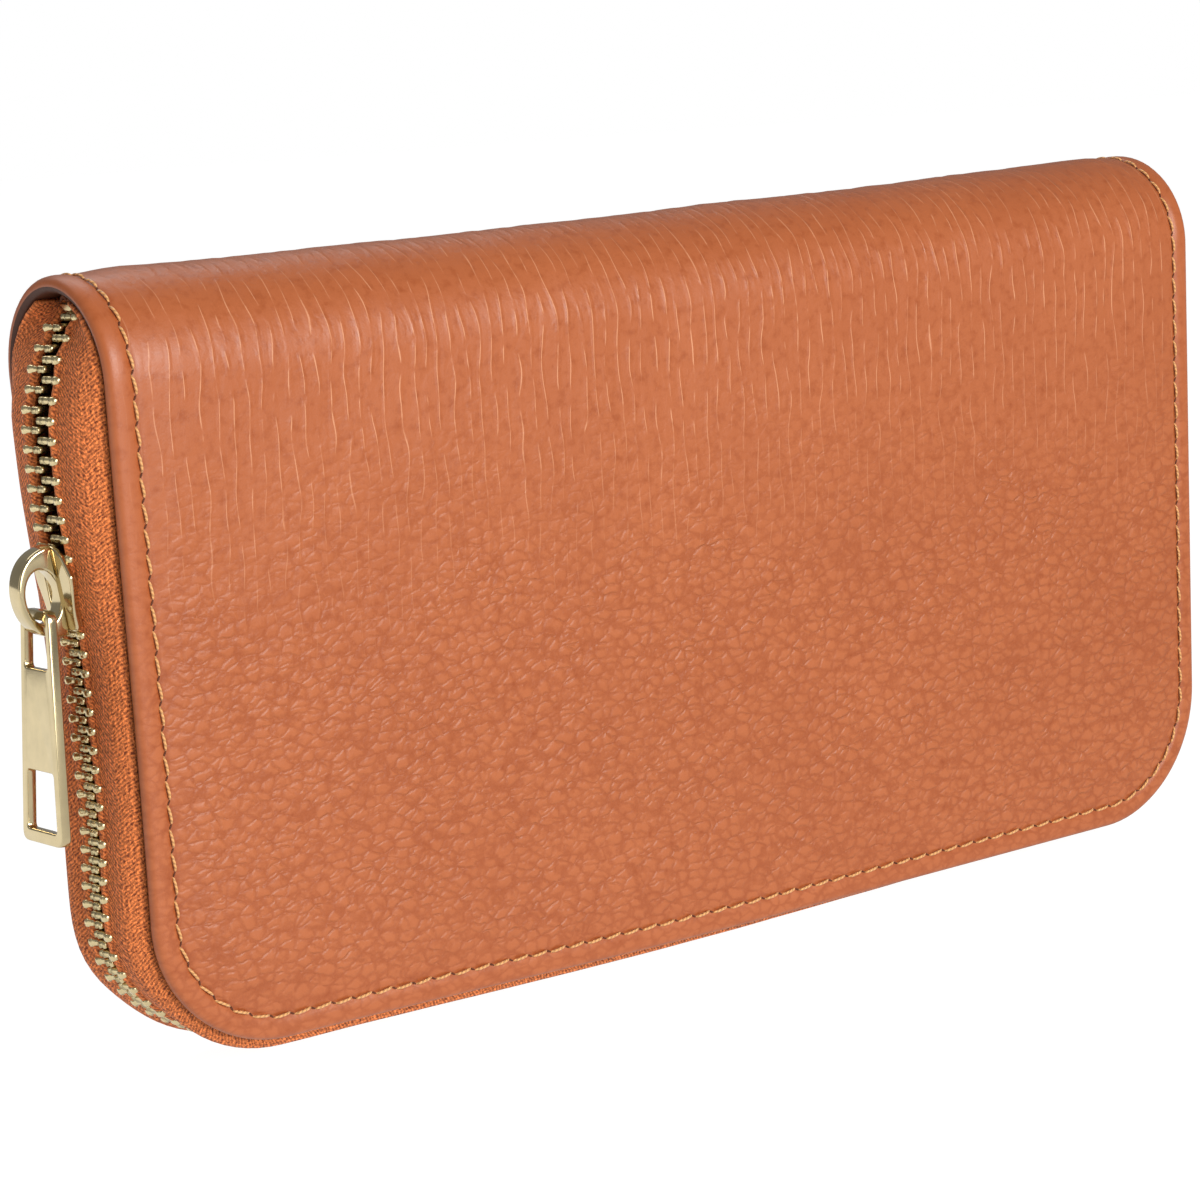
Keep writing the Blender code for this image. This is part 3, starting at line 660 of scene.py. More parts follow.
def stitching():
    """Slightly slanted threads lying in the groove, and the needle holes between them, filled
    with painted shadow.
    """
    total = outline_length(STITCH_IN)
    count = round(total / STITCH_PITCH)
    pitch = total / count
    half_length, radius, slant = pitch * 0.41, 0.20, radians(9)
    rings, sides = 9, 7
    points, faces, uvs = [], [], []
    hole_points, hole_faces = [], []
    for i in range(count):
        x, v, heading = outline_point((i + 0.5) * pitch, STITCH_IN)
        wobble = noise.noise(Vector((i * 0.71, 2.0, 5.0)))
        turn = heading + slant + wobble * 0.06
        direction = (cos(turn), sin(turn))
        aside = (-direction[1], direction[0])
        shift = wobble * 0.08
        start = len(points)
        for t in spread(-1, 1, rings - 1):
            along = t * half_length
            height = -GROOVE + 0.36 * (1 - abs(t) ** 3.0)
            size = thread_size(radius, t)
            for a in around(sides):
                off = shift + size * cos(a)
                px = x + direction[0] * along + aside[0] * off
                pv = v + direction[1] * along + aside[1] * off
                points.append(skin(px, pv, height + size * sin(a)))
                uvs.append((a, along + i * 0.37))
        faces += tube_faces(start, rings, sides)
        x, v, heading = outline_point(i * pitch, STITCH_IN)
        start = len(hole_points)
        for height, grow in ((-0.36, 0.5), (-0.16, 1.0), (-0.14, 0.4)):
            for a in around(8):
                along, off = 0.40 * grow * cos(a), 0.13 * grow * sin(a)
                turn = heading - 0.5
                px = x + cos(turn) * along - sin(turn) * off
                pv = v + sin(turn) * along + cos(turn) * off
                hole_points.append(skin(px, pv, height))
        hole_faces += tube_faces(start, 3, 8)
    thread = make_mesh("cover_stitches", points, faces, THREAD, uvs)
    recalc_normals(thread)
    settle(thread)
    holes = make_mesh("cover_needle_hole_shadows", hole_points, hole_faces, HOLE_SHADOW)
    recalc_normals(holes)
    settle(holes)


# ---- zip -------------------------------------------------------------------------------------
# How far the chain's centre line stands outside the leather's edge, by height, up the two sides.
LEFT_BOW = [(22.5, 2.1), (38, 1.3), (60, 1.2), (67.5, 2.2), (80, 2.9), (88, 2.8), (96, 1.0)]
LEFT_BOW += [(99.5, -1.2), (103.6, -4.2)]
RIGHT_BOW = [(22.5, 2.2), (60, 1.8), (85, 2.0), (92, 1.2), (99, -1.6), (102.5, -2.6)]
PATH_TOP = 103.6
BASE_CHAIN = 0.3


def zip_stations(step=1.6):
    """Places round the leather's edge from the left end under the spine to the right end:
    (x, z, outward normal x, outward normal z)."""
    low, cx = EDGE_Z + CORNER, HALF_W - CORNER
    rise = PATH_TOP - low
    count = int(rise / step)
    stations = [(-HALF_W, PATH_TOP - rise * i / count, -1.0, 0.0) for i in range(count)]
    for sx, start in ((-1, pi), (1, 1.5 * pi)):
        steps = int(pi / 2 * CORNER / step)
        for i in range(steps + 1):
            a = start + pi / 2 * i / steps
            nx, nz = cos(a), sin(a)
            stations.append((sx * cx + CORNER * nx, low + CORNER * nz, nx, nz))
        if sx < 0:
            base = int(2 * cx / step / 1.5)
            stations += [(-cx + 2 * cx * i / base, EDGE_Z, 0.0, -1.0) for i in range(1, base)]
    stations += [(HALF_W, low + rise * i / count, 1.0, 0.0) for i in range(1, count + 1)]
    return stations


STATIONS = zip_stations()
LENGTHS = [0.0]
for before, after in zip(STATIONS, STATIONS[1:]):
    LENGTHS.append(LENGTHS[-1] + hypot(after[0] - before[0], after[1] - before[1]))


def underside(nz):
    """0 on the upright sides, 1 along the base."""
    return smooth(-nz * 1.25 - 0.25)


def bow(x, z, nz):
    side = course(LEFT_BOW if x < 0 else RIGHT_BOW, z)
    return side + (BASE_CHAIN - side) * underside(nz)


def base_ridge(x):
    """The tape's reach below the leather's edge along the base: most at the slider's end."""
    return 1.5 - 1.0 * smooth((x + 60) / 140)


def row_offset(x, z):
    """A row's distance from the chain's centre line, open above the slider."""
    if x > 0:
        return CLOSED_ROW
    opened = (OPEN_ROW - CLOSED_ROW) * smooth((z - SLIDER_Z + 3.2) / 5.0)
    return CLOSED_ROW + opened - 0.7 * smooth((z - 94) / 8)


def chain_at(distance):
    """Centre of the chain and its outward normal at a distance along the path."""
    for i in range(1, len(LENGTHS)):
        if distance <= LENGTHS[i] or i == len(LENGTHS) - 1:
            t = (distance - LENGTHS[i - 1]) / (LENGTHS[i] - LENGTHS[i - 1])
            a, b = STATIONS[i - 1], STATIONS[i]
            x, z, nx, nz = [p + (q - p) * t for p, q in zip(a, b)]
            size = hypot(nx, nz)
            nx, nz = nx / size, nz / size
            out = bow(x, z, nz)
            centre = settled(Vector((x + CENTRE_X + nx * out, 0, z + nz * out)), x)
            return centre, Vector((nx, 0, nz)), x, z
    return None


def under_arch(z, inset):
    """Half the space between the halves at a height, inset from the skin's surface."""
    if z < ARC_Z:
        return None
    return sqrt(max((ARC_R - inset) ** 2 - (z - ARC_Z) ** 2, 0.2))


def tape_section(sign, station):
    """Across a tape: from its margin on the lining, over the leather's edge, to the teeth."""
    x, z, nx, nz = station
    out = bow(x, z, nz)
    low = underside(nz)
    ridge = max(out, 0.9 * out + (base_ridge(x) - 0.9 * out) * low)
    arch_y = under_arch(z, SKIN + 0.35)
    margins = []
    for u in (-7.0, -3.5, -0.9):
        point = lean(sign, x + nx * u, TAPE_Y, z + nz * u)
        if arch_y is not None:
            point = Vector((point.x, sign * min(abs(point.y), arch_y), z))
        margins.append(point)
    rim = abs(margins[2].y)
    row_edge = row_offset(x, z) + 1.95
    span = rim - row_edge
    puff = (0.35 if sign > 0 else 0.6) * smooth(span / 4.0)
    full = (1 - smooth((z - 38) / 24)) if sign > 0 and x < 0 else 0.0
    side = [0.16 * out, 0.42 * out, 0.70 * out, 0.88 * out, 0.96 * out]
    fuller = [0.6, 1.1, 1.1, 0.75, 0.25]
    side = [a + full * swell for a, swell in zip(side, fuller)]
    base = [0.40 * ridge, 0.90 * ridge, ridge, 0.5 * (ridge + out), out]
    puffs = [0.0, 0.35, 0.6, 0.55, 0.25]
    places = [0.02, 0.14, 0.32, 0.56, 0.80]
    shape = [
        (a + (b - a) * low + puff * swell, rim - share * span)
        for a, b, swell, share in zip(side, base, puffs, places)
    ]
    shape += [(out + 0.12, row_edge + 0.3), (out + 0.1, row_edge - 0.7), (out, row_edge - 1.3)]
    outer = [Vector((x + CENTRE_X + nx * u, sign * y, z + nz * u)) for u, y in shape]
    return [settled(p, x) for p in margins + outer]


def zip_tape(side, sign):
    rows = []
    for i, station in enumerate(STATIONS):
        line = spline(tape_section(sign, station), 4)
        ripple = noise.noise(Vector((LENGTHS[i] * 0.09, sign * 4.0, 1.0))) * 0.12
        for k, p in enumerate(line):
            share = k / (len(line) - 1)
            swell = ripple * sin(pi * min(max((share - 0.35) / 0.6, 0), 1))
            line[k] = p + Vector((station[2], 0, station[3])) * swell
        rows.append(line)
    obj = sheet_object(side + "_tape", rows, TAPE, 0.55)
    settle(obj, (side + "_zip_tape",), side + "_half")
    cord_rows = []
    for i, station in enumerate(STATIONS):
        centre, normal, x, z = chain_at(LENGTHS[i])
        middle = centre + Vector((0, sign * (row_offset(x, z) + 1.25), 0))
        ring = []
        for a in spread(0, 2 * pi, 8):
            ring.append(middle + normal * 0.84 * sin(a) + Vector((0, 0.85 * cos(a), 0)))
        cord_rows.append(ring)
    uvs = [(c * 0.45, LENGTHS[r]) for r in range(len(cord_rows)) for c in range(9)]
    points = [p for row in cord_rows for p in row]
    faces = grid_faces(len(cord_rows), 9)
    faces.append(tuple(range(8))[::-1])
    faces.append(tuple(range(len(points) - 9, len(points) - 1)))
    cord = make_mesh(side + "_tape_edge_cord", points, faces, TAPE, uvs)
    recalc_normals(cord, MERGE)
    settle(cord, (), side + "_half")


# Along a tooth from its clamp to its tip: place, half width along the zip, half depth, rise.
TOOTH = [
    (2.05, 0.26, 0.50, 0.05),
    (1.92, 0.46, 0.90, 0.05),
    (1.50, 0.60, 1.12, 0.05),
    (1.00, 0.60, 1.12, 0.05),
    (0.72, 0.46, 0.92, -0.10),
    (0.20, 0.46, 0.80, -0.15),
    (-0.50, 0.50, 0.84, -0.10),
    (-0.90, 0.52, 0.98, 0.05),
    (-1.20, 0.46, 0.80, -0.22),
    (-1.50, 0.50, 0.82, -0.20),
    (-1.80, 0.48, 0.95, 0.02),
    (-2.05, 0.38, 0.80, 0.0),
    (-2.15, 0.20, 0.45, 0.0),
]


TOOTH_SIDES = 10
TOOTH_BOXY = 0.42  # 1 gives a tooth an oval section, 0 a box


def tooth_points(centre, normal, along, sign):
    points = []
    for y, half_w, half_d, rise in TOOTH:
        for a in around(TOOTH_SIDES, 0.5):
            ca, sa = cos(a), sin(a)
            w = half_w * copysign(abs(ca) ** TOOTH_BOXY, ca)
            d = half_d * copysign(abs(sa) ** TOOTH_BOXY, sa) + rise
            points.append(centre + along * w + normal * d + Vector((0, sign * y, 0)))
    return points


def zip_teeth(side, sign):
    start = 2.0 + (PITCH / 2 if sign > 0 else 0.0)
    count = int((LENGTHS[-1] - 6.0) / PITCH)
    points, faces = [], []
    for i in range(count):
        centre, normal, x, z = chain_at(start + i * PITCH)
        along = Vector((-normal.z, 0, normal.x))
        centre = centre + Vector((0, sign * row_offset(x, z), 0))
        faces += tube_faces(len(points), len(TOOTH), TOOTH_SIDES)
        points += tooth_points(centre, normal, along, sign)
    obj = make_mesh(side + "_teeth_row", points, faces, BRASS)
    recalc_normals(obj)
    settle(obj, (side + "_zip_teeth",), side + "_half")


def rounded_block(name, size, centre, node, body):
    """A small pressed metal block with rounded edges."""
    shape = bmesh.new()
    place = Matrix.Translation(centre) @ Matrix.Diagonal((*size, 1.0))
    bmesh.ops.create_cube(shape, size=1.0, matrix=place)
    rounding = {"offset": min(size) * 0.28, "segments": 3, "affect": "EDGES", "profile": 0.6}
    bmesh.ops.bevel(shape, geom=shape.edges[:], **rounding)
    points = [v.co.copy() for v in shape.verts]
    shape.verts.index_update()
    faces = [[v.index for v in f.verts] for f in shape.faces]
    shape.free()
    settle(make_mesh(name, points, faces, BRASS), (node,), body)


def zip_stops():
    for side, sign in SIDES.items():
        centre, _, x, z = chain_at(0.9)
        centre = centre + Vector((0, sign * row_offset(x, z), 0))
        node = side + "_zip_top_stop"
        rounded_block(side + "_top_stop", (1.6, 2.6, 1.3), centre, node, side + "_half")
    centre = chain_at(LENGTHS[-1] - 1.8)[0]
    rounded_block("bottom_stop_box", (2.4, 6.2, 2.4), centre, "zip_bottom_stop", "back_half")


# ---- sliders and pulls -----------------------------------------------------------------------
def arc_points(centre, radius, start, end, steps):
    angles = [radians(a) for a in spread(start, end, steps)]
    return [(centre[0] + radius * cos(a), centre[1] + radius * sin(a)) for a in angles]


def plate_mesh(outlines, thickness, rounding, segments=3):
    """A bmesh plate in the XZ plane, centred on y = 0; outlines after the first are holes."""
    curve = bpy.data.curves.new("plate", "CURVE")
    curve.dimensions = "2D"
    curve.fill_mode = "BOTH"
    curve.extrude = thickness / 2 - rounding
    curve.bevel_depth = rounding
    curve.bevel_resolution = segments
    curve.offset = -rounding
    for outline in outlines:
        line = curve.splines.new("POLY")
        line.points.add(len(outline) - 1)
        for point, (x, z) in zip(line.points, outline):
            point.co = (x, z, 0.0, 1.0)
        line.use_cyclic_u = True
    holder = bpy.data.objects.new("plate", curve)
    bpy.context.scene.collection.objects.link(holder)
    graph = bpy.context.evaluated_depsgraph_get()
    mesh = bpy.data.meshes.new_from_object(holder.evaluated_get(graph))
    bpy.data.objects.remove(holder)
    bpy.data.curves.remove(curve)
    shape = bmesh.new()
    shape.from_mesh(mesh)
    bpy.data.meshes.remove(mesh)
    bmesh.ops.remove_doubles(shape, verts=shape.verts, dist=1e-4)
    bmesh.ops.rotate(shape, verts=shape.verts, matrix=Matrix.Rotation(pi / 2, 3, "X"))
    bmesh.ops.recalc_face_normals(shape, faces=shape.faces)
    return shape


def gold_piece(name, parts, place, node, body):
    """One gold object from several bmeshes in a local frame, put in place by a matrix."""
    points, faces = [], []
    for shape in parts:
        shape.verts.index_update()
        base = len(points)
        points += [place @ v.co for v in shape.verts]
        faces += [[base + v.index for v in f.verts] for f in shape.faces]
        shape.free()
    obj = make_mesh(name, points, faces, GOLD)
    obj.data.set_sharp_from_angle(angle=radians(35))
    settle(obj, (node,), body)


def blade_outline():
    """A slider blade: rounded nose, wide shoulders, waist, narrow tail. Nose at +Z."""
    right = [(0.0, -5.7), (2.1, -5.7), *arc_points((2.8, -4.9), 0.8, -90, 0, 5), (3.58, -3.6)]
    right += [(3.75, -2.4), (4.15, -0.9), (4.5, 0.3), *arc_points((3.85, 1.5), 0.8, -10, 40, 4)]
    right += [(4.0, 2.9), (3.3, 4.2), (2.3, 5.15), (1.1, 5.6), (0.0, 5.7)]
    return right + [(-x, z) for x, z in reversed(right[1:-1])]


def move(shape, offset):
    bmesh.ops.translate(shape, verts=shape.verts, vec=offset)
    return shape


def slider_body_parts():
    """Two blades with turned-in flanges, joined by a post. Outward is +Y, the nose at +Z."""
    blade, channel = 0.8, 2.6
    middle = channel / 2 + blade / 2
    parts = []
    for face in (-1, 1):
        parts.append(move(plate_mesh([blade_outline()], blade, 0.28), (0, face * middle, 0)))
        for side in (-1, 1):
            line = [(3.52, -5.0), (3.54, -3.4), (3.72, -2.3), (4.1, -0.8)]
            line = [Vector((x, z, 0)) for x, z in [*line, (4.42, 0.5), (4.4, 1.8)]]
            flange = bmesh.new()
            rows = []
            for p in spline(line, 4):
                row = []
                for a in around(8):
                    x = p.x - 0.23 + 0.23 * cos(a)
                    y = face * (channel / 2 - 0.10 + 0.40 * sin(a))
                    row.append(flange.verts.new((side * x, y, p.y)))
                rows.append(row)
            for a, b in zip(rows, rows[1:]):
                for k in range(8):
                    flange.faces.new((a[k], a[(k + 1) % 8], b[(k + 1) % 8], b[k]))
            flange.faces.new(rows[0][::-1])
            flange.faces.new(rows[-1])
            bmesh.ops.recalc_face_normals(flange, faces=flange.faces)
            parts.append(flange)
    post = [(0, 2.0), (0.45, 2.9), (0.55, 4.6), (0.3, 5.2)]
    post += [(-x, z) for x, z in reversed(post[1:])]
    parts.append(plate_mesh([post], channel + 0.2, 0.1, 2))
    return parts


def bridge_parts():
    """The loop over the outer blade: an arched plate with broad legs and an oval eye."""
    foot, rise, half = 2.05, 6.0, 6.0
    outer, eye = [], []
    for a in spread(0, pi, 28):
        outer.append((-half * cos(a) - 0.2, rise * sin(a) ** 0.8))
    for a in spread(0, 2 * pi, 32)[:-1]:
        low = sin(a) < 0
        eye.append((3.6 * cos(a) - 0.43, 2.5 + (2.4 if low else 2.5) * sin(a)))
    shape = plate_mesh([outer, eye], 2.9, 0.38, 4)
    upright = Matrix(((0, 1, 0), (0, 0, 1), (1, 0, 0)))
    bmesh.ops.transform(shape, matrix=upright.to_4x4(), verts=shape.verts)
    bmesh.ops.recalc_face_normals(shape, faces=shape.faces)
    return [move(shape, (0, foot, 0))]


def rounded(corners, radius, steps=5):
    """A polygon's outline with its corners rounded."""
    out = []
    count = len(corners)
    for i, (x, z) in enumerate(corners):
        p = Vector((x, z))
        before, after = Vector(corners[i - 1]) - p, Vector(corners[(i + 1) % count]) - p
        reach = min(radius, before.length * 0.45, after.length * 0.45)
        a, b = p + before.normalized() * reach, p + after.normalized() * reach
        for k in range(steps + 1):
            t = k / steps
            q = a * (1 - t) ** 2 + p * 2 * t * (1 - t) + b * t**2
            out.append((q.x, q.y))
    return out


def pull_plate(length, top_width=7.2, end_width=10.4):
    """A tapered plate with a slot at each end, hung by its top bar, with its origin there."""
    top, bottom = PULL_BAR, PULL_BAR - length

    def half_width(z):
        return (top_width + (end_width - top_width) * (top - z) / length) / 2

    def tapered(low, high, inset, radius):
        corners = [
            (half_width(low) - inset, low),
            (half_width(high) - inset, high),
            (-half_width(high) + inset, high),
            (-half_width(low) + inset, low),
        ]
        return rounded(corners, radius)

    end_slot = bottom + 1.7
    outlines = [
        tapered(bottom, top, 0.0, 1.5),
        tapered(top - 7.7, top - 1.3, 1.0, 0.7),
        tapered(end_slot, end_slot + 8.0 * length / 31.2, 1.25, 0.6),
    ]
    return plate_mesh(outlines, 1.45, 0.22, 3)


def sliders():
    outward_left = Matrix.Rotation(pi / 2, 4, "Z")
    tilt = Matrix.Rotation(radians(SLIDER_TILT), 4, "X")
    centre = Vector((-HALF_W - SLIDER_OUT + CENTRE_X, 0, SLIDER_Z))
    place = Matrix.Translation(centre) @ outward_left @ tilt
    gold_piece("slider_body", slider_body_parts(), place, "main_slider_body", "main_slider")
    gold_piece("slider_bridge", bridge_parts(), place, "main_slider_bridge", "main_slider")
    low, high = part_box("main_slider_pull")
    bar = Vector(((low.x + high.x) * 500, 0, high.z * 1000 - PULL_BAR))
    swing = Matrix.Rotation(radians(PULL_SWING), 4, "X")
    place = Matrix.Translation(bar) @ outward_left @ swing
    gold_piece("slider_pull", [pull_plate(MAIN_PULL)], place, "main_slider_pull", "main_pull")


# ---- inside ----------------------------------------------------------------------------------
LINING_Y = 10.6
CARD_Y = 9.5
CARD_HALF_W = 84
CARD_LOW, CARD_STEP = 18.4, 15  # the first strip's mouth and the rise to the next
CARD_PIVOT = 9.6  # the height in a strip about which it tilts behind the next one
CARD_SEAM = 1.6  # from a strip's mouth to its row of stitches
COIN_WALL_Y = 2.35
COIN_HALF_W = 86.0
COIN_LOW, COIN_HIGH = 28.0, 98.0
COIN_CHAIN_Z = 24.5
COIN_START = 12.0  # from the coin pocket's side to its first tooth
COIN_SCALE = 0.5  # of the main zip
COIN_PITCH = 2.0


def spine_lining():
    """The dark lining under the spine, gathered in fine pleats towards its ends."""
    rows = []
    reach_v = ARC_LENGTH + 6.0
    for x in spread(-(HALF_W - 3.2), HALF_W - 3.2, 60):
        near_end = smooth((abs(x) - 78) / 14)
        row = []
        for v in spread(-reach_v, reach_v, 120):
            pleat = 0.5 * sin(v * 2.3 + 0.8 * sin(v * 0.7)) * near_end
            row.append(skin(x, v, -SKIN - 0.75 + pleat))
        rows.append(row)
    obj = sheet_object("spine_lining", rows, LINING, 0.4)
    settle(obj)


def thread_run(points, faces, uvs, place, count, pitch, length, radius):
    """Adds count stitches in a row; place(along, aside, height) gives a point for each."""
    rings, sides = 7, 6
    for i in range(count):
        start = len(points)
        for t in spread(-1, 1, rings - 1):
            size = thread_size(radius, t)
            height = radius * 0.7 * (1 - abs(t) ** 3) - 0.05
            for a in around(sides):
                along = (i + 0.5) * pitch + t * length / 2
                points.append(place(along, size * cos(a), height + size * sin(a)))
                uvs.append((a, along))
        faces += tube_faces(start, rings, sides)


def stitched(name, runs, body, pitch=2.6):
    """One object of straight seams; each run is (start, direction, up, length)."""
    points, faces, uvs = [], [], []
    for start, direction, up, length in runs:
        aside = direction.cross(up)

        def place(along, off, height, start=start, direction=direction, up=up, aside=aside):
            return start + direction * along + aside * off + up * height

        count = int(length / pitch)
        thread_run(points, faces, uvs, place, count, length / count, pitch * 0.76, 0.14)
    obj = make_mesh(name, points, faces, THREAD, uvs)
    recalc_normals(obj)
    settle(obj, (), body)


def half_lining(side, sign):
    """The lining glued inside a cover, a little hollow between its edge and its middle."""
    half_w, low, high, radius = 95.2, EDGE_Z + 2.3, TOP_Z - HALF_T - 0.6, 17.7
    rows = []
    for t in spread(0, 1, 48):
        z = low + (high - low) * (t + 0.35 * t * (t - 1))
        rise = max(radius - (z - low), 0.0)
        reach = half_w - radius + sqrt(max(radius**2 - rise**2, 0.0))
        row = []
        for t in spread(-1, 1, 72):
            x = reach * sin(pi / 2 * t)
            edge = min(reach - abs(x), z - low)
            dip = 0.10 * smooth(edge / 6) + 0.04 * noise.noise(Vector((x * 0.08, z * 0.08, sign)))
            row.append(lean(sign, x, LINING_Y + dip, z))
        rows.append(row)
    obj = sheet_object(side + "_lining_sheet", rows, LINING, 0.4)
    recalc_normals(obj, MERGE)
    settle(obj, (side + "_lining",), side + "_half")


def card_pockets(side, sign):
    """Card strips with a turned mouth, a centre seam and a row of stitches under the mouth."""
    tilt = asin(0.7 / CARD_STEP)
    runs = []
    line = [(3.2, 0.27), (0.5, 0.28), (0.05, 0.15), (0.45, 0.0), (3.0, -0.02), (8, 0)]
    line = spline([Vector((a, b, 0)) for a, b in [*line, (14, 0.0), (19.2, 0.0)]], 3)
    for i in range(4):
        low = CARD_LOW + CARD_STEP * i
        rows = []
        for p in line:
            row = []
            for x in spread(-CARD_HALF_W, CARD_HALF_W, 84):
                z = low + p.x
                y = CARD_Y + p.y + (p.x - CARD_PIVOT) * sin(tilt)
                seam = 0.16 * exp(-((x / 1.3) ** 2)) * smooth(p.x / 2)
                slack = 0.05 * noise.noise(Vector((x * 0.05, z * 0.07, i + 9.0 * sign)))
                mouth = 0.10 * sin(pi * abs(x) / CARD_HALF_W) * (1 - smooth(p.x / 8))
                row.append(lean(sign, x, y + seam + slack - mouth, z))
            rows.append(row)
        obj = sheet_object(f"{side}_card_strip_{i + 1}", rows, LINING, 0.26)
        settle(obj, (f"{side}_card_pocket_{i + 1}",), side + "_half")
        inward = (lean(sign, 0, 0, low) - lean(sign, 0, 1, low)).normalized()
        for x0, x1 in ((-82, -2), (2, 82)):
            y = CARD_Y - 0.15 + (CARD_SEAM - CARD_PIVOT) * sin(tilt) - 0.08
            start = lean(sign, x0, y, low + CARD_SEAM)
            runs.append((start, Vector((1, 0, 0)), inward, x1 - x0))
    stitched(side + "_card_stitches", runs, side + "_half")


def coin_pocket():
    """The coin pocket's two walls, its fold under the spine, its sides, zip and seams."""
    runs = []
    for side, sign in SIDES.items():
        rows = []
        line = [(3.4, -0.32), (0.6, -0.33), (0.05, -0.16), (0.5, 0.0), (4, 0.02), (20, 0.0)]
        line += [(45, 0.0), (COIN_HIGH - COIN_LOW - 0.3, 0.0)]
        for p in spline([Vector((a, b, 0)) for a, b in line], 4):
            row = []
            for x in spread(-COIN_HALF_W, COIN_HALF_W, 72):
                z = COIN_LOW + p.x
                slack = 0.10 * noise.noise(Vector((x * 0.04, z * 0.05, 20.0 + sign)))
                row.append(Vector((x + CENTRE_X, sign * (COIN_WALL_Y + p.y + slack * 0.5), z)))
            rows.append(row)
        obj = sheet_object(f"coin_{side}_wall", rows, LINING, 0.34)
        settle(obj, (f"coin_pocket_{side}_wall",), "coin_pocket")
        start = Vector((CENTRE_X - 84, sign * (COIN_WALL_Y + 0.25), COIN_LOW + 2.0))
        runs.append((start, Vector((1, 0, 0)), Vector((0, sign, 0)), 168.0))
        coin_zip(side, sign)
    rows = []
    for x in spread(-COIN_HALF_W, COIN_HALF_W, 39):
        row = []
        for a in spread(0, pi, 12):
            y, z = 2.45 * cos(a), COIN_HIGH - 0.9 + 1.35 * sin(a)
            row.append(Vector((x + CENTRE_X, y, z)))
        rows.append(row)
    fold = sheet_object("coin_spine_fold", rows, LINING, 0.4)
    settle(fold, ("coin_pocket_spine_fold",), "coin_pocket")
    for side, sign in ENDS.items():
        rows = []
        for z in spread(COIN_LOW + 1, COIN_HIGH - 1, 35):
            row = []
            for y in spread(-2, 2, 8):
                inward = 1.6 * (1 - (y / 2.0) ** 2)
                x = sign * (COIN_HALF_W - 0.35 - inward) + CENTRE_X
                row.append(Vector((x, y, z)))
            rows.append(row)
        obj = sheet_object(f"coin_{side}_side", rows, LINING, 0.3)
        settle(obj, (f"coin_pocket_{side}_side",), "coin_pocket")
    stitched("coin_stitches", runs, "coin_pocket")


def coin_zip(side, sign):
    ends = COIN_HALF_W - 2.2
    line = [(3.1, 34.0), (3.1, 30.0), (3.1, 27.0), (2.95, 25.1), (2.4, 24.55), (1.6, 24.5)]
    line = spline([Vector((0, sign * y, z)) for y, z in line], 3)
    rows = [[Vector((x + CENTRE_X, p.y, p.z)) for p in line] for x in spread(-ends, ends, 89)]
    obj = sheet_object(f"coin_{side}_tape", rows, TAPE, 0.28)
    settle(obj, (f"coin_{side}_zip_tape",), "coin_pocket")
    points, faces = [], []
    count = int((2 * COIN_HALF_W - 18.0) / COIN_PITCH)
    for i in range(count):
        x = COIN_START - COIN_HALF_W + (i + (0.5 if sign > 0 else 0)) * COIN_PITCH
        centre = Vector((x + CENTRE_X, sign * 0.47, COIN_CHAIN_Z))
        faces += tube_faces(len(points), len(TOOTH), TOOTH_SIDES)
        tooth = tooth_points(Vector(), Vector((0, 0, -1)), Vector((1, 0, 0)), sign)
        points += [centre + p * Vector((0.78, COIN_SCALE, COIN_SCALE)) for p in tooth]
    obj = make_mesh(f"coin_{side}_teeth_row", points, faces, BRASS)
    recalc_normals(obj)
    settle(obj, (f"coin_{side}_zip_teeth",), "coin_pocket")


def coin_slider():
    """The coin pocket's half-size slider faces down, with its pull hanging."""
    turn = Matrix(((0, 0, -1, 0), (1, 0, 0, 0), (0, -1, 0, 0), (0, 0, 0, 1)))
    x = COIN_START - COIN_HALF_W - 0.8 + CENTRE_X
    place = Matrix.Translation((x, 0, COIN_CHAIN_Z)) @ turn @ Matrix.Scale(COIN_SCALE, 4)
    gold_piece("coin_zip_slider", slider_body_parts(), place, "coin_slider_body", "coin_slider")
    gold_piece("coin_zip_bridge", bridge_parts(), place, "coin_slider_bridge", "coin_slider")
    place = place @ Matrix.Translation((0, 5.1, -3.3)) @ Matrix.Rotation(pi / 2, 4, "X")
    gold_piece("coin_zip_pull", [pull_plate(COIN_PULL)], place, "coin_slider_pull", "coin_pull")


def gussets():
    """Pleated webs from one lining, round the coin pocket's side, to the other lining."""
    seam, depth = 87.0, 21.0
    for end, end_sign in ENDS.items():
        rows = []
        for z in spread(EDGE_Z + 18, TOP_Z - HALF_T - 2, 43):
            outer = abs(lean(1, 0, 8.85, z).y) - 0.55
            inner = 3.6
            middle = (outer + inner) / 2
            on_lining = abs(lean(1, 0, 10.15, z).y)
            shape = [
                (seam + 4.6, on_lining),
                (seam + 1.5, on_lining - 0.15),
                (seam - 0.6, outer),
                (seam - depth * 0.5, (outer + middle + 0.3) / 2),
                (seam - depth + 0.4, middle + 0.32),
                (seam - depth, middle),
                (seam - depth + 0.4, middle - 0.32),
                (seam - depth * 0.5, (inner + middle - 0.3) / 2),
                (seam - 0.3, inner),
                (seam + 0.5, inner - 0.7),
                (seam + 0.7, 0.0),
            ]
            wave = 0.12 * noise.noise(Vector((z * 0.10, end_sign * 3.0, 0.0)))
            half = [Vector((end_sign * (x + wave * 3) + CENTRE_X, y, z)) for x, y in shape]
            other = [Vector((p.x, -p.y, p.z)) for p in reversed(half[:-1])]
            rows.append(spline(half + other, 3))
        obj = sheet_object(end + "_gusset", rows, LINING, 0.30)
        nodes = (end + "_front_gusset", end + "_back_gusset")
        settle(obj, nodes)


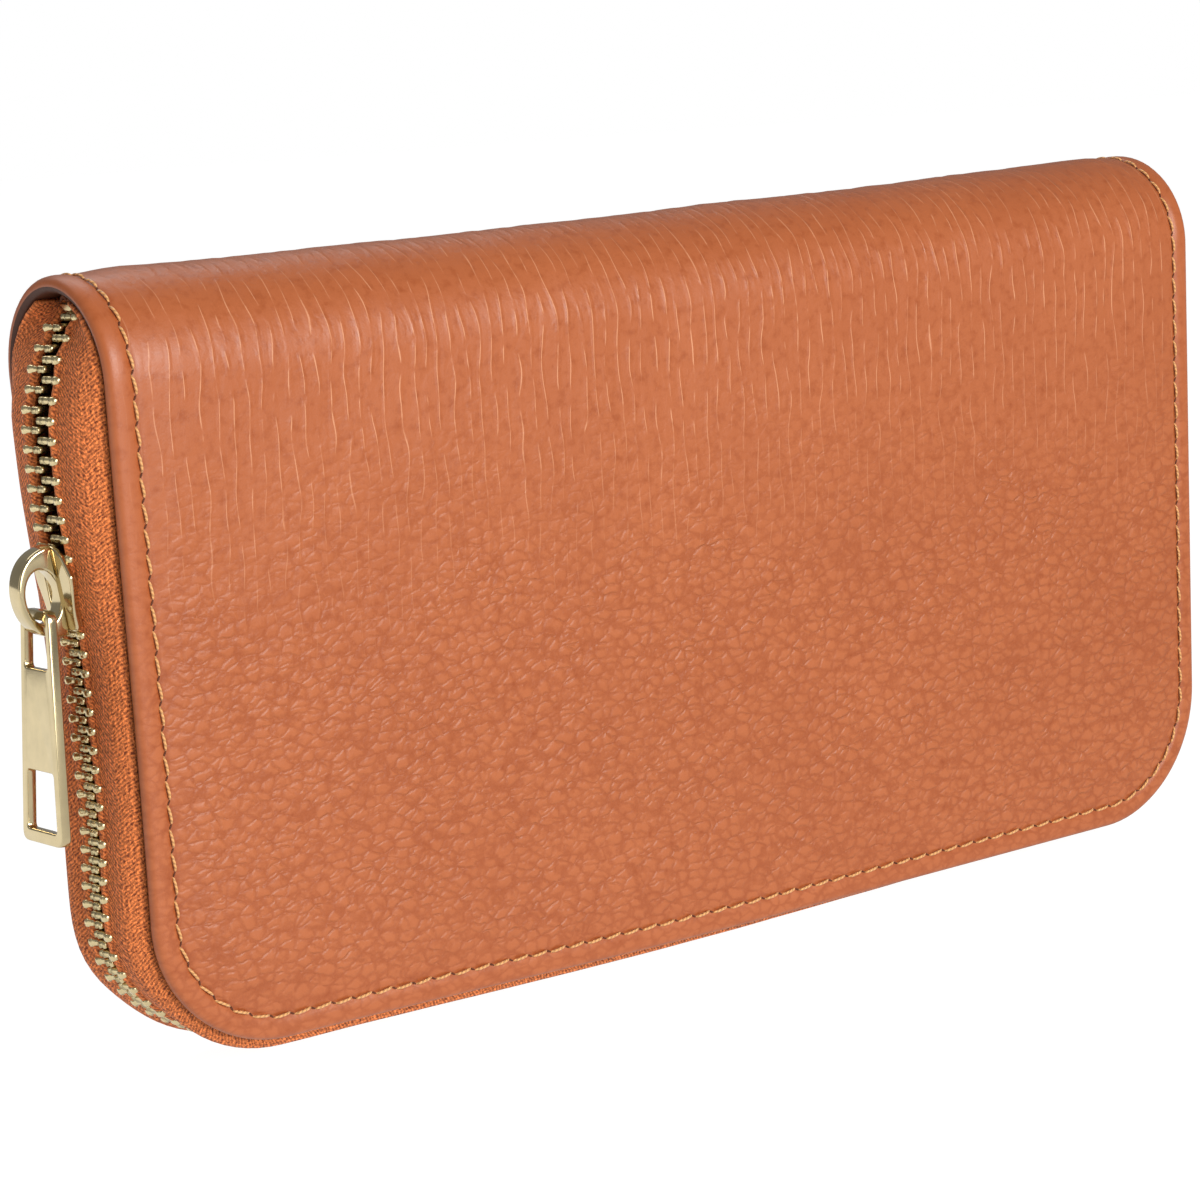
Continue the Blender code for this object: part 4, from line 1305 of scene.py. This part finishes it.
# ---- carried-over CAD nodes ------------------------------------------------------------------
def finish_cad_nodes():
    """Gives every CAD node that stays its slot's material."""
    for subpart in frame["record"]["subparts"]:
        node = frame["nodes"].get(subpart["node"])
        material = CARRIED[subpart["material_slot"]]
        if node.data.materials:
            node.data.materials[0] = material
        else:
            node.data.materials.append(material)


# ---- camera, light, floor --------------------------------------------------------------------
def camera():
    data = bpy.data.cameras.new("camera")
    data.sensor_width = 36.0
    data.lens = 107.61
    data.clip_start, data.clip_end = 0.02, 20.0
    obj = bpy.data.objects.new("camera", data)
    bpy.context.scene.collection.objects.link(obj)
    yaw, pitch, roll = radians(37.30), radians(9.03), radians(-4.16)
    turn = Matrix.Rotation(-yaw, 4, "Z") @ Matrix.Rotation(pi / 2 - pitch, 4, "X")
    turn = turn @ Matrix.Rotation(roll, 4, "Z")
    obj.matrix_world = Matrix.Translation((-0.319318, -0.405572, 0.133077)) @ turn
    bpy.context.scene.camera = obj


def area_light(name, location, target, size, power, colour=(1, 1, 1)):
    data = bpy.data.lights.new(name, "AREA")
    data.shape = "RECTANGLE"
    data.size, data.size_y = size
    data.energy = power
    data.color = colour
    obj = bpy.data.objects.new(name, data)
    bpy.context.scene.collection.objects.link(obj)
    obj.location = location
    obj.rotation_mode = "QUATERNION"
    direction = Vector(target) - Vector(location)
    obj.rotation_quaternion = direction.to_track_quat("-Z", "Y")


def studio():
    """White surroundings: plain to the camera, dimmer and uneven where they light the wallet."""
    scene = bpy.context.scene
    scene.view_settings.view_transform = "Standard"
    scene.view_settings.look = "None"
    world = bpy.data.worlds.new("studio")
    scene.world = world
    world.use_nodes = True
    nodes, links = world.node_tree.nodes, world.node_tree.links
    background = nodes["Background"]
    background.inputs["Color"].default_value = (1, 1, 1, 1)
    path = nodes.new("ShaderNodeLightPath")
    strength = nodes.new("ShaderNodeMapRange")
    strength.inputs["To Min"].default_value = 0.24
    strength.inputs["To Max"].default_value = 1.0
    links.new(path.outputs["Is Camera Ray"], strength.inputs["Value"])
    links.new(strength.outputs[0], background.inputs["Strength"])
    centre = (0, 0, 0.05)
    area_light("key", (0.10, -0.86, 0.38), centre, (0.45, 0.35), 6.2, (1.0, 0.98, 0.95))
    area_light("left_strip", (-0.9, -0.05, 0.22), centre, (0.30, 0.5), 0.3)
    area_light("front_fill", (-0.12, -1.05, 0.22), centre, (0.8, 0.5), 5.2)
    area_light("top_soft", (0.05, 0.50, 0.75), centre, (0.8, 0.3), 2.2)
    floor_shape = bmesh.new()
    bmesh.ops.create_circle(floor_shape, cap_ends=True, radius=4.0, segments=96)
    mesh = bpy.data.meshes.new("floor")
    floor_shape.to_mesh(mesh)
    floor_shape.free()
    s = Shader("white_floor")
    grain = s.noise(s.place(1.0), 30.0, 2.0)
    tone = s.mix(grain, (0.10, 0.10, 0.10), (0.14, 0.14, 0.14))
    s.done(Base_Color=tone, Roughness=0.9)
    sides = s.node("SeparateXYZ", {"Vector": s.place(1.0)})
    across = s.math("MULTIPLY", sides.outputs[0], -0.6)
    across = s.math("ADD", across, s.math("MULTIPLY", sides.outputs[1], 0.8))
    glow = s.remap(across, -0.25, 0.25, 0.36, 0.95, "SMOOTHSTEP")
    seen = s.node("LightPath").outputs["Is Camera Ray"]
    strength = s.remap(seen, 0.0, 1.0, glow, 0.96)
    s.bsdf.inputs["Emission Color"].default_value = (1, 1, 1, 1)
    s.links.new(strength, s.bsdf.inputs["Emission Strength"])
    mesh.materials.append(s.material)
    floor = bpy.data.objects.new("floor", mesh)
    scene.collection.objects.link(floor)
    floor.location.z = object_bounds()[0].z - 0.0001
    floor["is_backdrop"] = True


camera()
finish_cad_nodes()
cover_skin()
stitching()
for half_side, half_sign in SIDES.items():
    zip_tape(half_side, half_sign)
    zip_teeth(half_side, half_sign)
    half_lining(half_side, half_sign)
    card_pockets(half_side, half_sign)
zip_stops()
sliders()
spine_lining()
coin_pocket()
coin_slider()
gussets()
studio()
